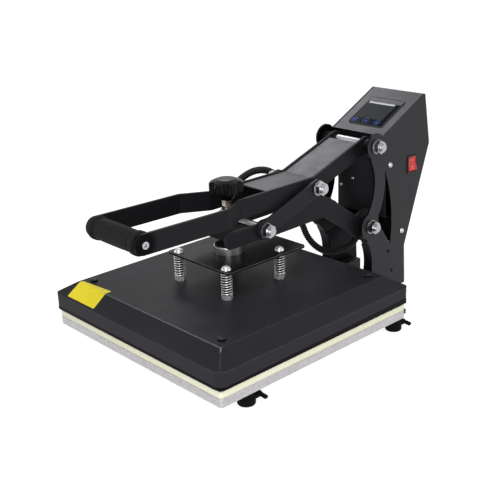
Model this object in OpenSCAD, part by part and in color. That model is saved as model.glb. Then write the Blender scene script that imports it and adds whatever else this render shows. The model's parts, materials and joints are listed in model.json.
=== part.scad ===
// Clamshell heat press: a hinged lever closes a sprung heating platen on a padded plate.
// Millimetres, +Z up, X across, +Y to the rear. The press is modelled closed.
// Inside the modules Y is measured from the screw axis and Z from the table.

/* [Base] */
// height of each rubber foot
foot_h = 25; // [18:0.5:40]
// radius of a foot's base
foot_r = 13; // [10:0.5:18]
// distance of each foot's centre from the plate's side edge
foot_inset_x = 27; // [22:1:60]
// place of the front bar, ahead of the screw axis
bar_front = 122; // [90:1:160]
// place of the rear bar, behind the screw axis
bar_rear = 196; // [180:1:205]
// width of the flat cross bars
bar_w = 40; // [25:1:60]
// thickness of the flat cross bars
bar_t = 6; // [4:0.5:10]
// width of the long base rails
rail_w = 18; // [12:1:24]
// height of the long base rails
rail_h = 20; // [12:1:24]
// wall of the long base rails
rail_wall = 2; // [1.5:0.5:4]
// width of the lower plate
plate_w = 380; // [300:5:420]
// depth of the lower plate
plate_d = 380; // [300:5:420]
// thickness of the lower plate
plate_t = 12; // [8:0.5:20]
// corner radius of the lower plate
plate_r = 5; // [2:0.5:12]
// thickness of the silicone pad
pad_t = 10; // [5:0.5:15]

/* [Heating platen] */
// gap between pad and heating plate in the stored pose
close_gap = 0.2; // [0.1:0.1:0.5]
// thickness of the heating plate
heat_t = 15; // [10:0.5:22]
// heating plate edge inside the lower plate's edge
heat_inset = 2; // [1:0.5:6]
// height of the cover's rim above the pad
cover_lift = 8.5; // [5:0.5:11]
// cover rim outside the lower plate's edge
cover_over = 4; // [2:0.5:8]
// height of the cover's upright skirt
skirt_h = 20.7; // [15:0.1:30]
// rise of the cover's sloped border
slope_h = 18.5; // [10:0.5:30]
// run of the cover's sloped border
slope_run = 28; // [15:0.5:45]
// corner radius of the cover's skirt
cover_r = 12; // [6:0.5:20]
// sheet thickness of the cover
cover_t = 2; // [1:0.1:3]
// cover screws inside the edge of the cover's flat top
cover_screw_in = 17; // [10:0.5:40]
// shank diameter of the cover screws
cover_screw_d = 5; // [4:0.5:6]

/* [Spring hanger] */
// space between cover and hanger plate
hang_gap = 42; // [36:0.5:55]
// thickness of the hanger plate
hang_t = 3.5; // [2.5:0.5:6]
// width of the hanger plate
hang_w = 140; // [125:1:160]
// depth of the hanger plate
hang_d = 160; // [135:1:175]
// hanger plate's middle behind the screw axis
hang_shift = 16; // [0:1:20]
// corner radius of the hanger plate
hang_r = 6; // [3:0.5:12]
// spacing of the spring bolts
bolt_pitch = 108; // [95:1:112]
// diameter of the spring bolts
bolt_d = 8; // [6:0.5:10]
// across flats of the nuts below the springs
bolt_nut_af = 15; // [13:0.5:18]
// outer diameter of the springs
spring_d = 17; // [14:0.5:22]
// wire diameter of the springs
wire_d = 1.8; // [1.4:0.1:2.4]
// number of spring turns
spring_turns = 9.5; // [7:0.5:10]

/* [Pressure screw] */
// outer diameter of the screw thread
screw_d = 8; // [7:0.5:12]
// pitch of the screw thread
screw_pitch = 2; // [1.5:0.25:3]
// depth of the screw thread
thread_depth = 0.8; // [0.6:0.1:1.2]
// diameter of the thrust collar
collar_d = 46; // [38:1:52]
// height of the thrust collar
collar_h = 12; // [8:0.5:14]
// height of the knob's middle above the hanger plate
knob_rise = 102; // [96:0.5:120]
// diameter of the knob over its lobes
knob_d = 52; // [44:0.5:56]
// height of the knob's lobed rim
knob_h = 17; // [14:0.5:22]
// number of knob lobes
knob_lobes = 6; // [4:1:8]
// across flats of the lock nut
lock_nut_af = 13; // [12.5:0.5:20]

/* [Linkage] */
// diameter of the main pivot bolts
pivot_d = 12; // [10:0.5:14]
// radial running clearance of the pivots
run_fit = 0.05; // [0.02:0.01:0.09]
// clearance around fixed screws and bolts
bolt_fit = 0.2; // [0.1:0.05:0.5]
// lower pivot behind the lower plate's rear edge
low_back = 76; // [70:0.5:90]
// lower pivot above the pad
low_rise = 76; // [70:0.5:85]
// top pivot behind the lower pivot
top_back = 11; // [5:0.5:18]
// top pivot above the lower pivot
top_rise = 134.5; // [125:0.5:145]
// slope of the straightened toggle
toggle_slope = 18.8; // [17:0.1:21]
// top pivot to middle pivot
crank_len = 134; // [125:0.5:140]
// front pivot behind the screw axis
front_back = 34.7; // [33:0.1:38]
// depth of the toggle links and of the lever's rear bars
link_depth = 27; // [24:0.5:30]
// depth of the press arm's sides
arm_depth = 31; // [26:0.5:36]
// sheet thickness of lever, links, arms and frame
sheet_t = 4; // [3:0.25:5]
// gap between plates that pass each other
plate_gap = 1; // [0.5:0.25:1.5]

/* [Lever] */
// width of the lever's channel
lever_w = 69; // [64:0.5:76]
// depth of the lever's front arms
lever_depth = 30; // [26:0.5:34]
// width over the lever's front arms
grip_w = 114; // [106:1:130]
// grip axis ahead of the screw axis
grip_reach = 196; // [170:1:240]
// grip axis above the pad
grip_rise = 170.5; // [166:0.5:178]
// diameter of the foam grip
grip_d = 35; // [32:0.5:46]
// length of the thicker rim at each end of the foam grip
grip_rim = 11; // [8:0.5:16]
// how much thinner the foam grip is between its rims, in radius
grip_waist = 1.8; // [0.5:0.1:2.5]
// length of the outward joggle
joggle_len = 46; // [30:1:60]
// thickness of the lever's top plate
top_plate_t = 2; // [1.5:0.25:3]
// how far the top plate sits below the lever's upper edges
top_plate_sink = 2; // [0.5:0.25:2.25]
// front edge of the lever's top plate, behind the screw axis
top_plate_front = 56; // [50:1:80]

/* [Frame] */
// width over the frame's side plates
frame_w = 114; // [110:1:126]
// radius of the top pivot lobes
top_lobe_r = 21.5; // [18:0.5:24]
// radius of the lower pivot lobes
low_lobe_r = 23; // [19:0.5:25]
// length of the sloped control panel
panel_len = 120; // [104:1:130]
// tilt of the sloped control panel
panel_tilt = 26.5; // [20:0.5:32]
// sheet thickness of the control box
box_t = 2; // [1:0.25:3]
// width of the display bezel
display_w = 73; // [60:1:84]
// length of the display bezel
display_l = 74; // [60:1:80]
// display's middle from the panel's front edge
display_at = 55.6; // [45:0.2:66]
// how far the display bezel stands up
display_h = 1.2; // [1:0.1:3]
// width of the power switch's rim
switch_w = 25; // [22:0.5:30]
// height of the power switch's rim
switch_h = 31; // [28:0.5:36]
// diameter of the heater conduit
conduit_d = 12; // [9:0.5:13]
// number of conduit ribs
conduit_ribs = 100; // [60:1:120]
// bore of the mains cable gland
gland_bore = 8.4; // [6:0.1:10]

/* [Hidden] */
$fn = 64;

// colours as the photograph shows them
black_paint = [0.09, 0.09, 0.10];
black_rubber = [0.04, 0.04, 0.04];
black_plastic = [0.06, 0.06, 0.07];
chrome = [0.82, 0.83, 0.85];
steel = [0.62, 0.63, 0.65];
alu = [0.66, 0.67, 0.69];
cream = [0.86, 0.82, 0.66];
brass = [0.78, 0.62, 0.32];
red = [0.80, 0.08, 0.06];
glass = [0.03, 0.04, 0.06];

// feet stand this far to each side
foot_x = plate_w / 2 - foot_inset_x;

// heights, from the table upwards
plate_z = foot_h + bar_t;
pad_z = plate_z + plate_t;
work_z = pad_z + pad_t;
heat_z = work_z + close_gap;
rim_z = work_z + cover_lift;
crease_z = rim_z + skirt_h;
cover_z = crease_z + slope_h;
hang_z = cover_z + hang_gap;
hang_top = hang_z + hang_t;
collar_top = hang_top + collar_h;

// the cover's half sizes and the slope of its border
cover_hw = plate_w / 2 + cover_over;
cover_hd = plate_d / 2 + cover_over;
slope_angle = atan2(slope_h, slope_run);
slope_side = cover_t / sin(slope_angle);
slope_top = cover_t / tan(slope_angle) - slope_side;

// pivots, as [Y, Z]
low_pivot = [plate_d / 2 + low_back, work_z + low_rise];
top_pivot = low_pivot + [top_back, top_rise];
toggle_dir = -[cos(toggle_slope), sin(toggle_slope)];
mid_pivot = top_pivot + crank_len * toggle_dir;
link_len = (top_pivot.x - front_back) / cos(toggle_slope) - crank_len;
front_pivot = mid_pivot + link_len * toggle_dir;
pivot_bore = pivot_d + 2 * run_fit;

// planes across the press, from the middle outwards
lever_out = lever_w / 2;
lever_in = lever_out - sheet_t;
arm_in = lever_out + 2 * plate_gap;
arm_out = arm_in + sheet_t;
link_in = arm_out + plate_gap;
link_out = link_in + sheet_t;
frame_out = frame_w / 2;
frame_in = frame_out - sheet_t;
grip_out = grip_w / 2;
grip_in = grip_out - sheet_t;

// the lever's side outline
grip_axis = [-grip_reach, work_z + grip_rise];
lever_knee = [0, front_pivot.y + 39];
lever_hole_d = 8.2;
joggle_at = 4;

// the press arm's side outline
arm_knee = [low_pivot.x - 92, front_pivot.y + 2];
arm_heel = low_pivot + [-4, -9];
arm_crest = mid_pivot + [2, -30];
bar_drop = [0, -1];
arm_hub_r = 27;
lug_front = -41;
lug_depth = 25;
lug_r = 10.5;
lug_mid = front_pivot.y - 2;
front_shaft_d = 16;

// the yoke block between the lugs
yoke_h = 18;
yoke_z = lug_mid - yoke_h / 2;
yoke_half = 20;

// fasteners
hex_h = 9;
nut_collar_h = 3;
washer_d = 24;
washer_t = 2;
pivot_af = 19;
seat_gap = 0.2;
head_h = 6;
bolt_head_d = 15;
bolt_nut_h = 6.5;
bolt_grip = 10;

// frame outline, as [Y, Z]
panel_front = top_pivot + [19.5, 13];
panel_top = panel_front + panel_len * [cos(panel_tilt), sin(panel_tilt)];
box_back = panel_top + [15.9, -86];
leg_back = [low_pivot.x + 91.6, low_pivot.y - 58];
leg_heel = [low_pivot.x + 95.5, 0];
leg_toe = [low_pivot.x + 4.5, 0];
throat_c = low_pivot + [-76, 72];
throat_r = 85;
instep_c = low_pivot + [-75.5, -69];
instep_r = 80;
slot_rib = 26;
slot_back_c = low_pivot + [-205, -11];
slot_back_r = 260;
flange_t = 3;
flange_in = frame_in - 14;
box_front = low_pivot.x + 42;
box_floor = low_pivot.y + 4;
cover_in_t = box_t / cos(panel_tilt);

// switch, screws and glands on the frame
switch_at = [low_pivot.x + 106, low_pivot.y + 86];
switch_rim_t = 2;
switch_wall = 1.5;
switch_deep = 20;
rocker_tilt = 8;
rocker_axis_x = frame_out - 3;
rocker_w = switch_w - 5;
rocker_r = switch_h / 2 - 2.6;
screw_spots = [low_pivot + [48, 96], low_pivot + [84, -29]];
rivet_spots = [low_pivot + [48, -57], low_pivot + [59, -96]];
mains_at = [0, low_pivot.y + 26];

// glands and the conduit's route: round points chosen by hand
gland_d = 20;
gland_h = 14;
platen_gland_at = [-80, 58];
box_gland_at = [-28, box_front + 38];
conduit_start = [platen_gland_at.x, platen_gland_at.y, cover_z + gland_h];
conduit_end = [box_gland_at.x, box_gland_at.y, box_floor - gland_h];
arch = [
    [0, 0, 14], [0, 0, 26], [0, 2, 48], [0, 8, 70], [0, 19, 89], [0, 34, 102], [0, 53, 110.5],
    [0, 74, 114], [0, 96, 111], [0, 116, 102], [1, 133, 88], [3, 146, 68], [7, 155, 45],
];
loop = [
    [-38, -127, 16], [-30, -123, -5], [-24, -120, -21], [-16, -113, -36], [-9, -101, -48],
    [-4, -86, -55], [-1, -70, -58], [0, -46, -58], [0, -32, -56], [0, -19, -49],
    [0, -9, -39], [0, -2, -26], [0, 0, -12],
];
conduit_route = [
    conduit_start, for (p = arch) conduit_start + p,
    for (p = loop) conduit_end + p, conduit_end,
];

// the part's own frame: origin on the table, under the middle of its length
front_y = grip_axis.x - grip_d / 2;
y_mid = (front_y + box_back.x) / 2;

// small helpers
function unit(v) = v / norm(v);
function perp(v) = [-v.y, v.x];
function on_line(a, b, z) = a.x + (b.x - a.x) * (z - a.y) / (b.y - a.y);
function corner(a, b, c, t) =
    let (m = perp(unit(b - a)), n = perp(unit(c - b))) b + t * (m + n) / (1 + m * n);
function shifted(p, t) = [
    p[0] + t * perp(unit(p[1] - p[0])),
    for (i = [1 : 1 : len(p) - 2]) corner(p[i - 1], p[i], p[i + 1], t),
    p[len(p) - 1] + t * perp(unit(p[len(p) - 1] - p[len(p) - 2])),
];
function reversed(p) = [for (i = [len(p) - 1 : -1 : 0]) p[i]];

// a bent strip of sheet, to the left of its line for a positive thickness
module strip(p, t) {
    polygon(concat(p, reversed(shifted(p, t))));
}

// a flat band along a line, a hair narrower than the round ends it runs into
module band2d(p, w) {
    half = w / 2 - 0.05;
    polygon(concat(shifted(p, -half), reversed(shifted(p, half))));
}

module disc2d(p, d) {
    translate(p) circle(d = d);
}

// a rectangle with round corners, about its middle
module rounded(w, d, r) {
    square([w - 2 * r, d], center = true);
    square([w, d - 2 * r], center = true);
    for (x = [-1, 1], y = [-1, 1])
        translate([x * (w / 2 - r), y * (d / 2 - r)]) circle(r = r);
}

module block(w, d, r, z0, z1) {
    translate([0, 0, z0]) linear_extrude(z1 - z0) rounded(w, d, r);
}

// moves every piece from the working origin to the part's origin
module placed() {
    translate([0, -y_mid, 0]) children();
}

// draws a [Y, Z] outline across the press
module across(x0, x1) {
    translate([x0, 0, 0]) rotate([90, 0, 90]) linear_extrude(x1 - x0) children();
}

module x_rod(p, x0, x1, d) {
    translate([x0, p.x, p.y]) rotate([0, 90, 0]) cylinder(d = d, h = x1 - x0);
}

module x_hex(p, x0, x1, af) {
    translate([x0, p.x, p.y]) rotate([0, 90, 0]) cylinder(d = af / cos(30), h = x1 - x0, $fn = 6);
}

module side_pair() {
    children();
    mirror([1, 0, 0]) children();
}

module left_side() {
    mirror([1, 0, 0]) children();
}

// washer, lock nut and bolt end outside the plane x
module lock_nut_end(p, x) {
    x_rod(p, x, x + washer_t, washer_d);
    x_hex(p, x + washer_t, x + washer_t + hex_h, pivot_af);
    x_rod(p, x + washer_t + hex_h, x + washer_t + hex_h + nut_collar_h, pivot_af - 3);
    x_rod(p, x, x + washer_t + hex_h + nut_collar_h + 2, pivot_d);
}

// a domed screw head that stands on z = 0
module dome_head(d, h) {
    r = (d * d / 4 + h * h) / (2 * h);
    intersection() {
        cylinder(d = d, h = h);
        translate([0, 0, h - r]) sphere(r = r);
    }
}

module ring(d_out, d_in, h) {
    difference() {
        cylinder(d = d_out, h = h);
        translate([0, 0, -1]) cylinder(d = d_in, h = h + 2);
    }
}

module x_tube(p, x0, x1, d_out, d_in) {
    translate([x0, p.x, p.y]) rotate([0, 90, 0]) ring(d_out, d_in, x1 - x0);
}

// base

module lower_platen() {
    color(alu) placed() block(plate_w, plate_d, plate_r, plate_z, pad_z);
}

module silicone_pad() {
    color(cream) placed() block(plate_w, plate_d, plate_r, pad_z, work_z);
}

module cross_bar(y) {
    color(black_paint) placed() translate([0, y, 0])
        block(2 * (foot_x + foot_r - 2), bar_w, plate_r, foot_h, plate_z);
}

module cross_bar_front() {
    cross_bar(-bar_front);
}

module cross_bar_rear() {
    cross_bar(bar_rear);
}

module rail() {
    front = -bar_front - bar_w / 2;
    long = leg_heel.x - 12 - front;
    color(black_paint) placed()
        translate([frame_in - rail_w, front, foot_h - rail_h]) difference() {
            cube([rail_w, long, rail_h]);
            translate([rail_wall, -1, rail_wall])
                cube([rail_w - 2 * rail_wall, long + 2, rail_h - 2 * rail_wall]);
        }
}

module base_rail_right() {
    rail();
}

module base_rail_left() {
    left_side() rail();
}

// a rubber foot: a waisted body on a broad base, with a lifting tab to the rear
module foot(x, y) {
    base_h = 9;
    waist_r = foot_r - 3;
    tab_w = 12;
    tab_t = 5;
    tab_reach = foot_r + 8;
    color(black_rubber) placed() translate([x, y, 0]) {
        difference() {
            rotate_extrude() polygon([
                [0, 0], [foot_r - 1, 0], [foot_r, 1.5], [foot_r, base_h], [waist_r, base_h + 4],
                [waist_r, foot_h - 3], [foot_r - 1, foot_h - 2], [foot_r - 1, foot_h], [0, foot_h],
            ]);
            translate([0, 0, -1]) cylinder(r1 = foot_r - 4, r2 = 2, h = base_h - 2);
        }
        translate([0, 0, base_h - tab_t]) linear_extrude(tab_t) {
            translate([-tab_w / 2, waist_r]) square([tab_w, tab_reach - waist_r]);
            translate([0, tab_reach]) circle(d = tab_w);
        }
    }
}

module foot_front_right() {
    foot(foot_x, -bar_front);
}

module foot_front_left() {
    foot(-foot_x, -bar_front);
}

module foot_rear_right() {
    foot(foot_x, bar_rear);
}

module foot_rear_left() {
    foot(-foot_x, bar_rear);
}

// frame

// the long crescent opening behind the pivots
module slot2d() {
    tail = low_pivot + [slot_rib - 6, 1];
    difference() {
        intersection() {
            translate(slot_back_c) circle(r = slot_back_r);
            polygon([tail, tail + [46, -66], tail + [60, 110], tail + [-10, 110]]);
        }
        translate(throat_c) circle(r = throat_r + slot_rib);
        translate(low_pivot) circle(r = slot_rib - 6);
    }
}

module frame_outline() {
    difference() {
        union() {
            difference() {
                polygon([
                    top_pivot + [-12, 8], panel_front, panel_top, box_back, leg_back, leg_heel, leg_toe,
                    [leg_toe.x, instep_c.y], low_pivot + [-16, 0], top_pivot + [-12, -40],
                ]);
                translate(throat_c) circle(r = throat_r);
                translate(instep_c) circle(r = instep_r);
            }
            translate(top_pivot) circle(r = top_lobe_r);
            translate(low_pivot) circle(r = low_lobe_r);
        }
        slot2d();
        translate(top_pivot) circle(d = pivot_bore);
        translate(low_pivot) circle(d = pivot_bore);
        for (p = concat(screw_spots, rivet_spots))
            translate(p) circle(d = 4.2);
    }
}

// the leg's front edge, folded inwards for stiffness
module leg_flange() {
    low = -16;
    high = 25;
    far = 2 * instep_r;
    across(flange_in, frame_in + 1) translate(instep_c) intersection() {
        difference() {
            circle(r = instep_r + flange_t);
            circle(r = instep_r);
        }
        polygon([[0, 0], far * [cos(low), sin(low)], far * [cos(high), sin(high)]]);
    }
}

module frame_side() {
    across(frame_in, frame_out) frame_outline();
    leg_flange();
}

module frame_side_right() {
    hole = [frame_out, switch_at.x, switch_at.y];
    color(black_paint) placed() difference() {
        frame_side();
        translate(hole) cube([4 * sheet_t, switch_w - 3 + seat_gap, switch_h - 3 + seat_gap], center = true);
    }
}

module frame_side_left() {
    color(black_paint) placed() left_side() frame_side();
}

// sloped panel and back, folded from one sheet
module control_cover() {
    color(black_paint) placed() difference() {
        across(-frame_in, frame_in) strip(reversed([panel_front, panel_top, box_back, leg_back]), box_t);
        on_panel(display_at) cube([display_w - 12, display_l - 12, 8 * box_t], center = true);
        mains_place() translate([0, 0, -2 * box_t]) cylinder(d = gland_d - 6, h = 4 * box_t);
    }
}

// local frames on the sloped panel and on the back
module on_panel(s) {
    translate([0, panel_front.x, panel_front.y]) rotate([panel_tilt, 0, 0])
        translate([0, s, 0]) children();
}

back_tilt = atan2(box_back.x - leg_back.x, box_back.y - leg_back.y);

module mains_place() {
    translate([mains_at.x, on_line(leg_back, box_back, mains_at.y), mains_at.y])
        rotate([-90 - back_tilt, 0, 0]) children();
}

// the box's upright front and its floor, folded from one sheet
module box_front_panel() {
    roof = panel_front.y + (box_front - panel_front.x) * tan(panel_tilt) - cover_in_t - seat_gap;
    back = on_line(leg_back, box_back, box_floor) - 1.2 * box_t;
    color(black_paint) placed() difference() {
        across(-frame_in, frame_in)
            strip([[box_front, roof], [box_front, box_floor], [back, box_floor]], box_t);
        translate([box_gland_at.x, box_gland_at.y, box_floor - box_t])
            cylinder(d = gland_d - 6, h = 4 * box_t);
    }
}

module display_bezel() {
    color(black_plastic) placed() on_panel(display_at) difference() {
        union() {
            block(display_w, display_l, 5, 0, display_h);
            block(display_w - 12 - seat_gap, display_l - 12 - seat_gap, 2, -10, 1);
        }
        block(display_w - 2.4, display_l - 2.4, 4, display_h - 0.9, display_h + 1);
    }
}

module display_glass() {
    color(glass) placed() on_panel(display_at)
        block(display_w - 2.6, display_l - 2.6, 4, display_h - 0.9, display_h - 0.1);
}

// rim and housing of the power switch
module switch_rim() {
    cav_w = rocker_w + 1;
    cav_h = 2 * rocker_r + 1;
    house_w = switch_w - 3;
    house_h = switch_h - 3;
    color(black_plastic) placed() translate([frame_out, switch_at.x, switch_at.y]) difference() {
        union() {
            rotate([90, 0, 90]) linear_extrude(switch_rim_t) rounded(switch_w, switch_h, 2);
            translate([-switch_deep, -house_w / 2, -house_h / 2]) cube([switch_deep, house_w, house_h]);
        }
        translate([switch_wall - switch_deep, -cav_w / 2, -cav_h / 2])
            cube([switch_deep + switch_rim_t, cav_w, cav_h]);
    }
}

module switch_rocker() {
    lean = tan(rocker_tilt);
    crown = 4;
    r = rocker_r;
    color(red) placed() translate([rocker_axis_x, switch_at.x + rocker_w / 2, switch_at.y])
        rotate([90, 0, 0]) linear_extrude(rocker_w) rotate(rocker_tilt) difference() {
            intersection() {
                circle(r = r);
                polygon([
                    [-crown, -r], [crown + r * lean, -r], [crown, 0],
                    [crown + r * lean, r], [-crown, r],
                ]);
            }
            circle(d = 3);
        }
    color(red) placed() translate([rocker_axis_x, switch_at.x + rocker_w / 2 + 0.5, switch_at.y])
        rotate([90, 0, 0]) cylinder(d = 3, h = rocker_w + 1);
}

// chrome screws and dark rivets that hold the box and the rails
module side_screws() {
    color(chrome) placed() side_pair() {
        for (p = screw_spots)
            translate([frame_out, p.x, p.y]) rotate([0, 90, 0]) {
                dome_head(10, 3.5);
                translate([0, 0, -sheet_t]) cylinder(d = 4, h = sheet_t + 1);
            }
        for (p = rivet_spots)
            translate([frame_out, p.x, p.y]) rotate([0, 90, 0]) {
                dome_head(7, 2);
                translate([0, 0, -sheet_t]) cylinder(d = 4, h = sheet_t + 1);
            }
    }
}

// a through bolt with its head on the left and its lock nut on the right
module through_bolt(p) {
    x_rod(p, -frame_out - washer_t - 1, frame_out + 1, pivot_d);
    lock_nut_end(p, frame_out);
    x_rod(p, -frame_out - washer_t, -frame_out, washer_d);
    x_hex(p, -frame_out - washer_t - hex_h, -frame_out - washer_t, pivot_af);
}

module top_pivot_bolt() {
    color(chrome) placed() through_bolt(top_pivot);
}

module low_pivot_bolt() {
    color(chrome) placed() through_bolt(low_pivot);
}

module top_spacers() {
    color(chrome) placed() side_pair()
        x_tube(top_pivot, lever_out + seat_gap, frame_in, pivot_d + 8, pivot_bore);
}

module low_spacers() {
    color(chrome) placed() side_pair()
        x_tube(low_pivot, arm_out + seat_gap, frame_in, pivot_d + 8, pivot_bore);
}

module top_sleeve() {
    color(chrome) placed()
        x_tube(top_pivot, -lever_in + seat_gap, lever_in - seat_gap, pivot_d + 4, pivot_bore);
}

module low_sleeve() {
    color(steel) placed()
        x_tube(low_pivot, -arm_in + seat_gap, arm_in - seat_gap, pivot_d + 6, pivot_bore);
}

// a hexagon gland that stands on z = 0, open right through
module gland(bore) {
    skirt = 5;
    color(black_plastic) difference() {
        union() {
            cylinder(d = gland_d / cos(30), h = skirt, $fn = 6);
            cylinder(d = gland_d - 3, h = gland_h - 3);
            translate([0, 0, gland_h - 3]) cylinder(d1 = gland_d - 3, d2 = gland_d - 6, h = 3);
            translate([0, 0, -4]) cylinder(d = gland_d - 6.4, h = 5);
        }
        translate([0, 0, -5]) cylinder(d = bore, h = gland_h + 6);
    }
}

module box_gland() {
    placed() translate([box_gland_at.x, box_gland_at.y, box_floor]) mirror([0, 0, 1]) gland(conduit_d - 4);
}

module mains_gland() {
    placed() mains_place() gland(gland_bore);
}

// lever

module lever_outline() {
    difference() {
        union() {
            disc2d(top_pivot, link_depth);
            band2d([top_pivot, mid_pivot], link_depth);
            disc2d(mid_pivot, lever_depth);
            band2d([mid_pivot, lever_knee, grip_axis], lever_depth);
            disc2d(grip_axis, lever_depth);
        }
        disc2d(top_pivot, pivot_bore);
        disc2d(mid_pivot, pivot_bore);
        disc2d(grip_axis, lever_hole_d);
    }
}

// one side, cut to the lever's outline and joggled outwards ahead of the screw
module lever_side() {
    tall = top_pivot.y + link_depth;
    run = [
        [lever_out, top_pivot.x + link_depth], [lever_out, -joggle_at],
        [grip_out, -joggle_len], [grip_out, grip_axis.x - lever_depth],
    ];
    color(black_paint) placed() intersection() {
        linear_extrude(tall) strip(run, -sheet_t);
        across(0, grip_out + 1) lever_outline();
    }
}

module lever_side_right() {
    lever_side();
}

module lever_side_left() {
    left_side() lever_side();
}

// the folded plate that closes the channel on top
module lever_top_plate() {
    up = -perp(toggle_dir) * (link_depth / 2 - top_plate_sink);
    rear = top_pivot + up + 16 * toggle_dir;
    flat_z = lever_knee.y + lever_depth / 2 - top_plate_sink;
    flat_dz = mid_pivot.y - lever_knee.y;
    fold = [on_line(mid_pivot + up, rear, flat_z + flat_dz), flat_z + flat_dz];
    front = [top_plate_front, flat_z + flat_dz * top_plate_front / mid_pivot.x];
    color(black_paint) placed() across(-lever_in, lever_in) strip(reversed([front, fold, rear]), top_plate_t);
}

module grip_tube() {
    color(steel) placed() x_tube(grip_axis, -grip_in, grip_in, grip_d / 2, lever_hole_d);
}

// a sleeve with a thicker rim at each end
module foam_grip() {
    ends = 3;
    half = grip_in - 1;
    r = grip_d / 2;
    color(black_rubber) placed() translate([0, grip_axis.x, grip_axis.y]) rotate([0, 90, 0])
        difference() {
            union() {
                translate([0, 0, ends - half]) cylinder(r = r - grip_waist, h = 2 * (half - ends));
                for (side = [-1, 1]) translate([0, 0, side * (half - grip_rim / 2)]) {
                    cylinder(r = r, h = grip_rim - 2 * ends, center = true);
                    cylinder(r = r - ends, h = grip_rim, center = true);
                    for (z = [-1, 1])
                        translate([0, 0, z * (grip_rim / 2 - ends)])
                            rotate_extrude() translate([r - ends, 0]) circle(r = ends);
                }
            }
            translate([0, 0, -half - 1]) cylinder(r = grip_d / 4 + 0.1, h = 2 * half + 2);
        }
}

module grip_bolts() {
    color(chrome) placed() side_pair() {
        x_rod(grip_axis, grip_in - 18, grip_out + 1, lever_hole_d - 0.2);
        difference() {
            x_rod(grip_axis, grip_out, grip_out + 4, 10.5);
            x_hex(grip_axis, grip_out + 1.5, grip_out + 5, 5);
        }
    }
}

// shoulder bolts of the middle pivot, one on each side
module mid_pivot_bolts() {
    color(chrome) placed() side_pair() {
        x_hex(mid_pivot, lever_in - hex_h, lever_in, pivot_af);
        x_rod(mid_pivot, lever_in - 1, link_out + 1, pivot_d);
        x_rod(mid_pivot, lever_out, link_in - seat_gap, pivot_d + 8);
        lock_nut_end(mid_pivot, link_out + seat_gap);
    }
}

// links

module toggle_link() {
    color(black_paint) placed() across(link_in, link_out) difference() {
        union() {
            disc2d(mid_pivot, link_depth);
            band2d([mid_pivot, front_pivot], link_depth);
            disc2d(front_pivot, link_depth);
        }
        disc2d(mid_pivot, pivot_bore);
        disc2d(front_pivot, pivot_bore);
    }
}

module toggle_link_right() {
    toggle_link();
}

module toggle_link_left() {
    left_side() toggle_link();
}

module front_pivot_bolts() {
    color(chrome) placed() side_pair() {
        x_rod(front_pivot, link_in, link_out + 1, pivot_d);
        lock_nut_end(front_pivot, link_out);
    }
}

// press arm

module arm_outline() {
    long = front_pivot.x - lug_front;
    difference() {
        union() {
            disc2d(low_pivot, 2 * arm_hub_r);
            band2d([arm_heel, arm_knee], arm_depth);
            disc2d(arm_knee, arm_depth);
            band2d([arm_knee, arm_crest], arm_depth);
            disc2d(arm_crest, arm_depth);
            band2d([arm_knee + bar_drop, front_pivot + bar_drop], arm_depth);
            disc2d(front_pivot + bar_drop, arm_depth);
            translate([lug_front + long / 2, lug_mid]) rounded(long, lug_depth, lug_r);
        }
        disc2d(low_pivot, pivot_bore);
        disc2d(front_pivot, front_shaft_d + 2 * run_fit);
    }
}

module arm_side() {
    color(black_paint) placed() across(arm_in, arm_out) arm_outline();
}

module arm_side_right() {
    arm_side();
}

module arm_side_left() {
    left_side() arm_side();
}

// the threaded block between the lugs
module yoke_block() {
    color(black_paint) placed() difference() {
        translate([-arm_in, -yoke_half, yoke_z]) cube([2 * arm_in, 2 * yoke_half, yoke_h]);
        translate([0, 0, yoke_z - 1]) cylinder(d = screw_d + 2 * run_fit, h = yoke_h + 2);
    }
}

module arm_front_shaft() {
    color(steel) placed() x_rod(front_pivot, -arm_out, arm_out, front_shaft_d);
}

// spring hanger

module bolt_spots() {
    for (x = [-1, 1], y = [-1, 1])
        translate([x * bolt_pitch / 2, y * bolt_pitch / 2, 0]) children();
}

module hanger_plate() {
    color(black_paint) placed() difference() {
        translate([0, hang_shift, 0]) block(hang_w, hang_d, hang_r, hang_z, hang_top);
        bolt_spots() translate([0, 0, hang_z - 1]) cylinder(d = bolt_d + 3 * bolt_fit, h = hang_t + 2);
    }
}

module thrust_collar() {
    bevel = 1.5;
    color(steel) placed() translate([0, 0, hang_top]) difference() {
        union() {
            cylinder(d = collar_d, h = collar_h - bevel);
            translate([0, 0, collar_h - bevel]) cylinder(d1 = collar_d, d2 = collar_d - 2 * bevel, h = bevel);
        }
        translate([0, 0, -1]) cylinder(d = screw_d + 2 * run_fit, h = collar_h + 2);
    }
}

// springs

spring_r = (spring_d - wire_d) / 2;
spring_z0 = cover_z + bolt_nut_h + wire_d / 2;
spring_z1 = hang_z - wire_d / 2;
end_pitch = wire_d + 0.5;
mid_pitch = (spring_z1 - spring_z0 - 2 * end_pitch) / (spring_turns - 2);

// height of the wire after t turns: close end turns, open turns between
function wire_z(t) =
    t < 1 ? spring_z0 + t * end_pitch :
    t > spring_turns - 1 ? spring_z1 - (spring_turns - t) * end_pitch :
    spring_z0 + end_pitch + (t - 1) * mid_pitch;

wire_steps = 8;
wire_sides = 6;
wire_line = [
    for (i = [0 : spring_turns * wire_steps])
        let (t = i / wire_steps) [spring_r * cos(360 * t), spring_r * sin(360 * t), wire_z(t)]
];
wire_gap = min([
    for (i = [0 : len(wire_line) - 1], j = [i + 5 : 1 : len(wire_line) - 1])
        norm(wire_line[i] - wire_line[j])
]) - wire_d;
echo(least_gap_between_spring_turns = wire_gap);

function wire_ring(i) =
    let (a = 360 * i / wire_steps, out = [cos(a), sin(a), 0])
    [for (k = [0 : wire_sides - 1])
        let (b = 360 * k / wire_sides)
        wire_line[i] + wire_d / 2 * (cos(b) * out + sin(b) * [0, 0, 1])];

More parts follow.
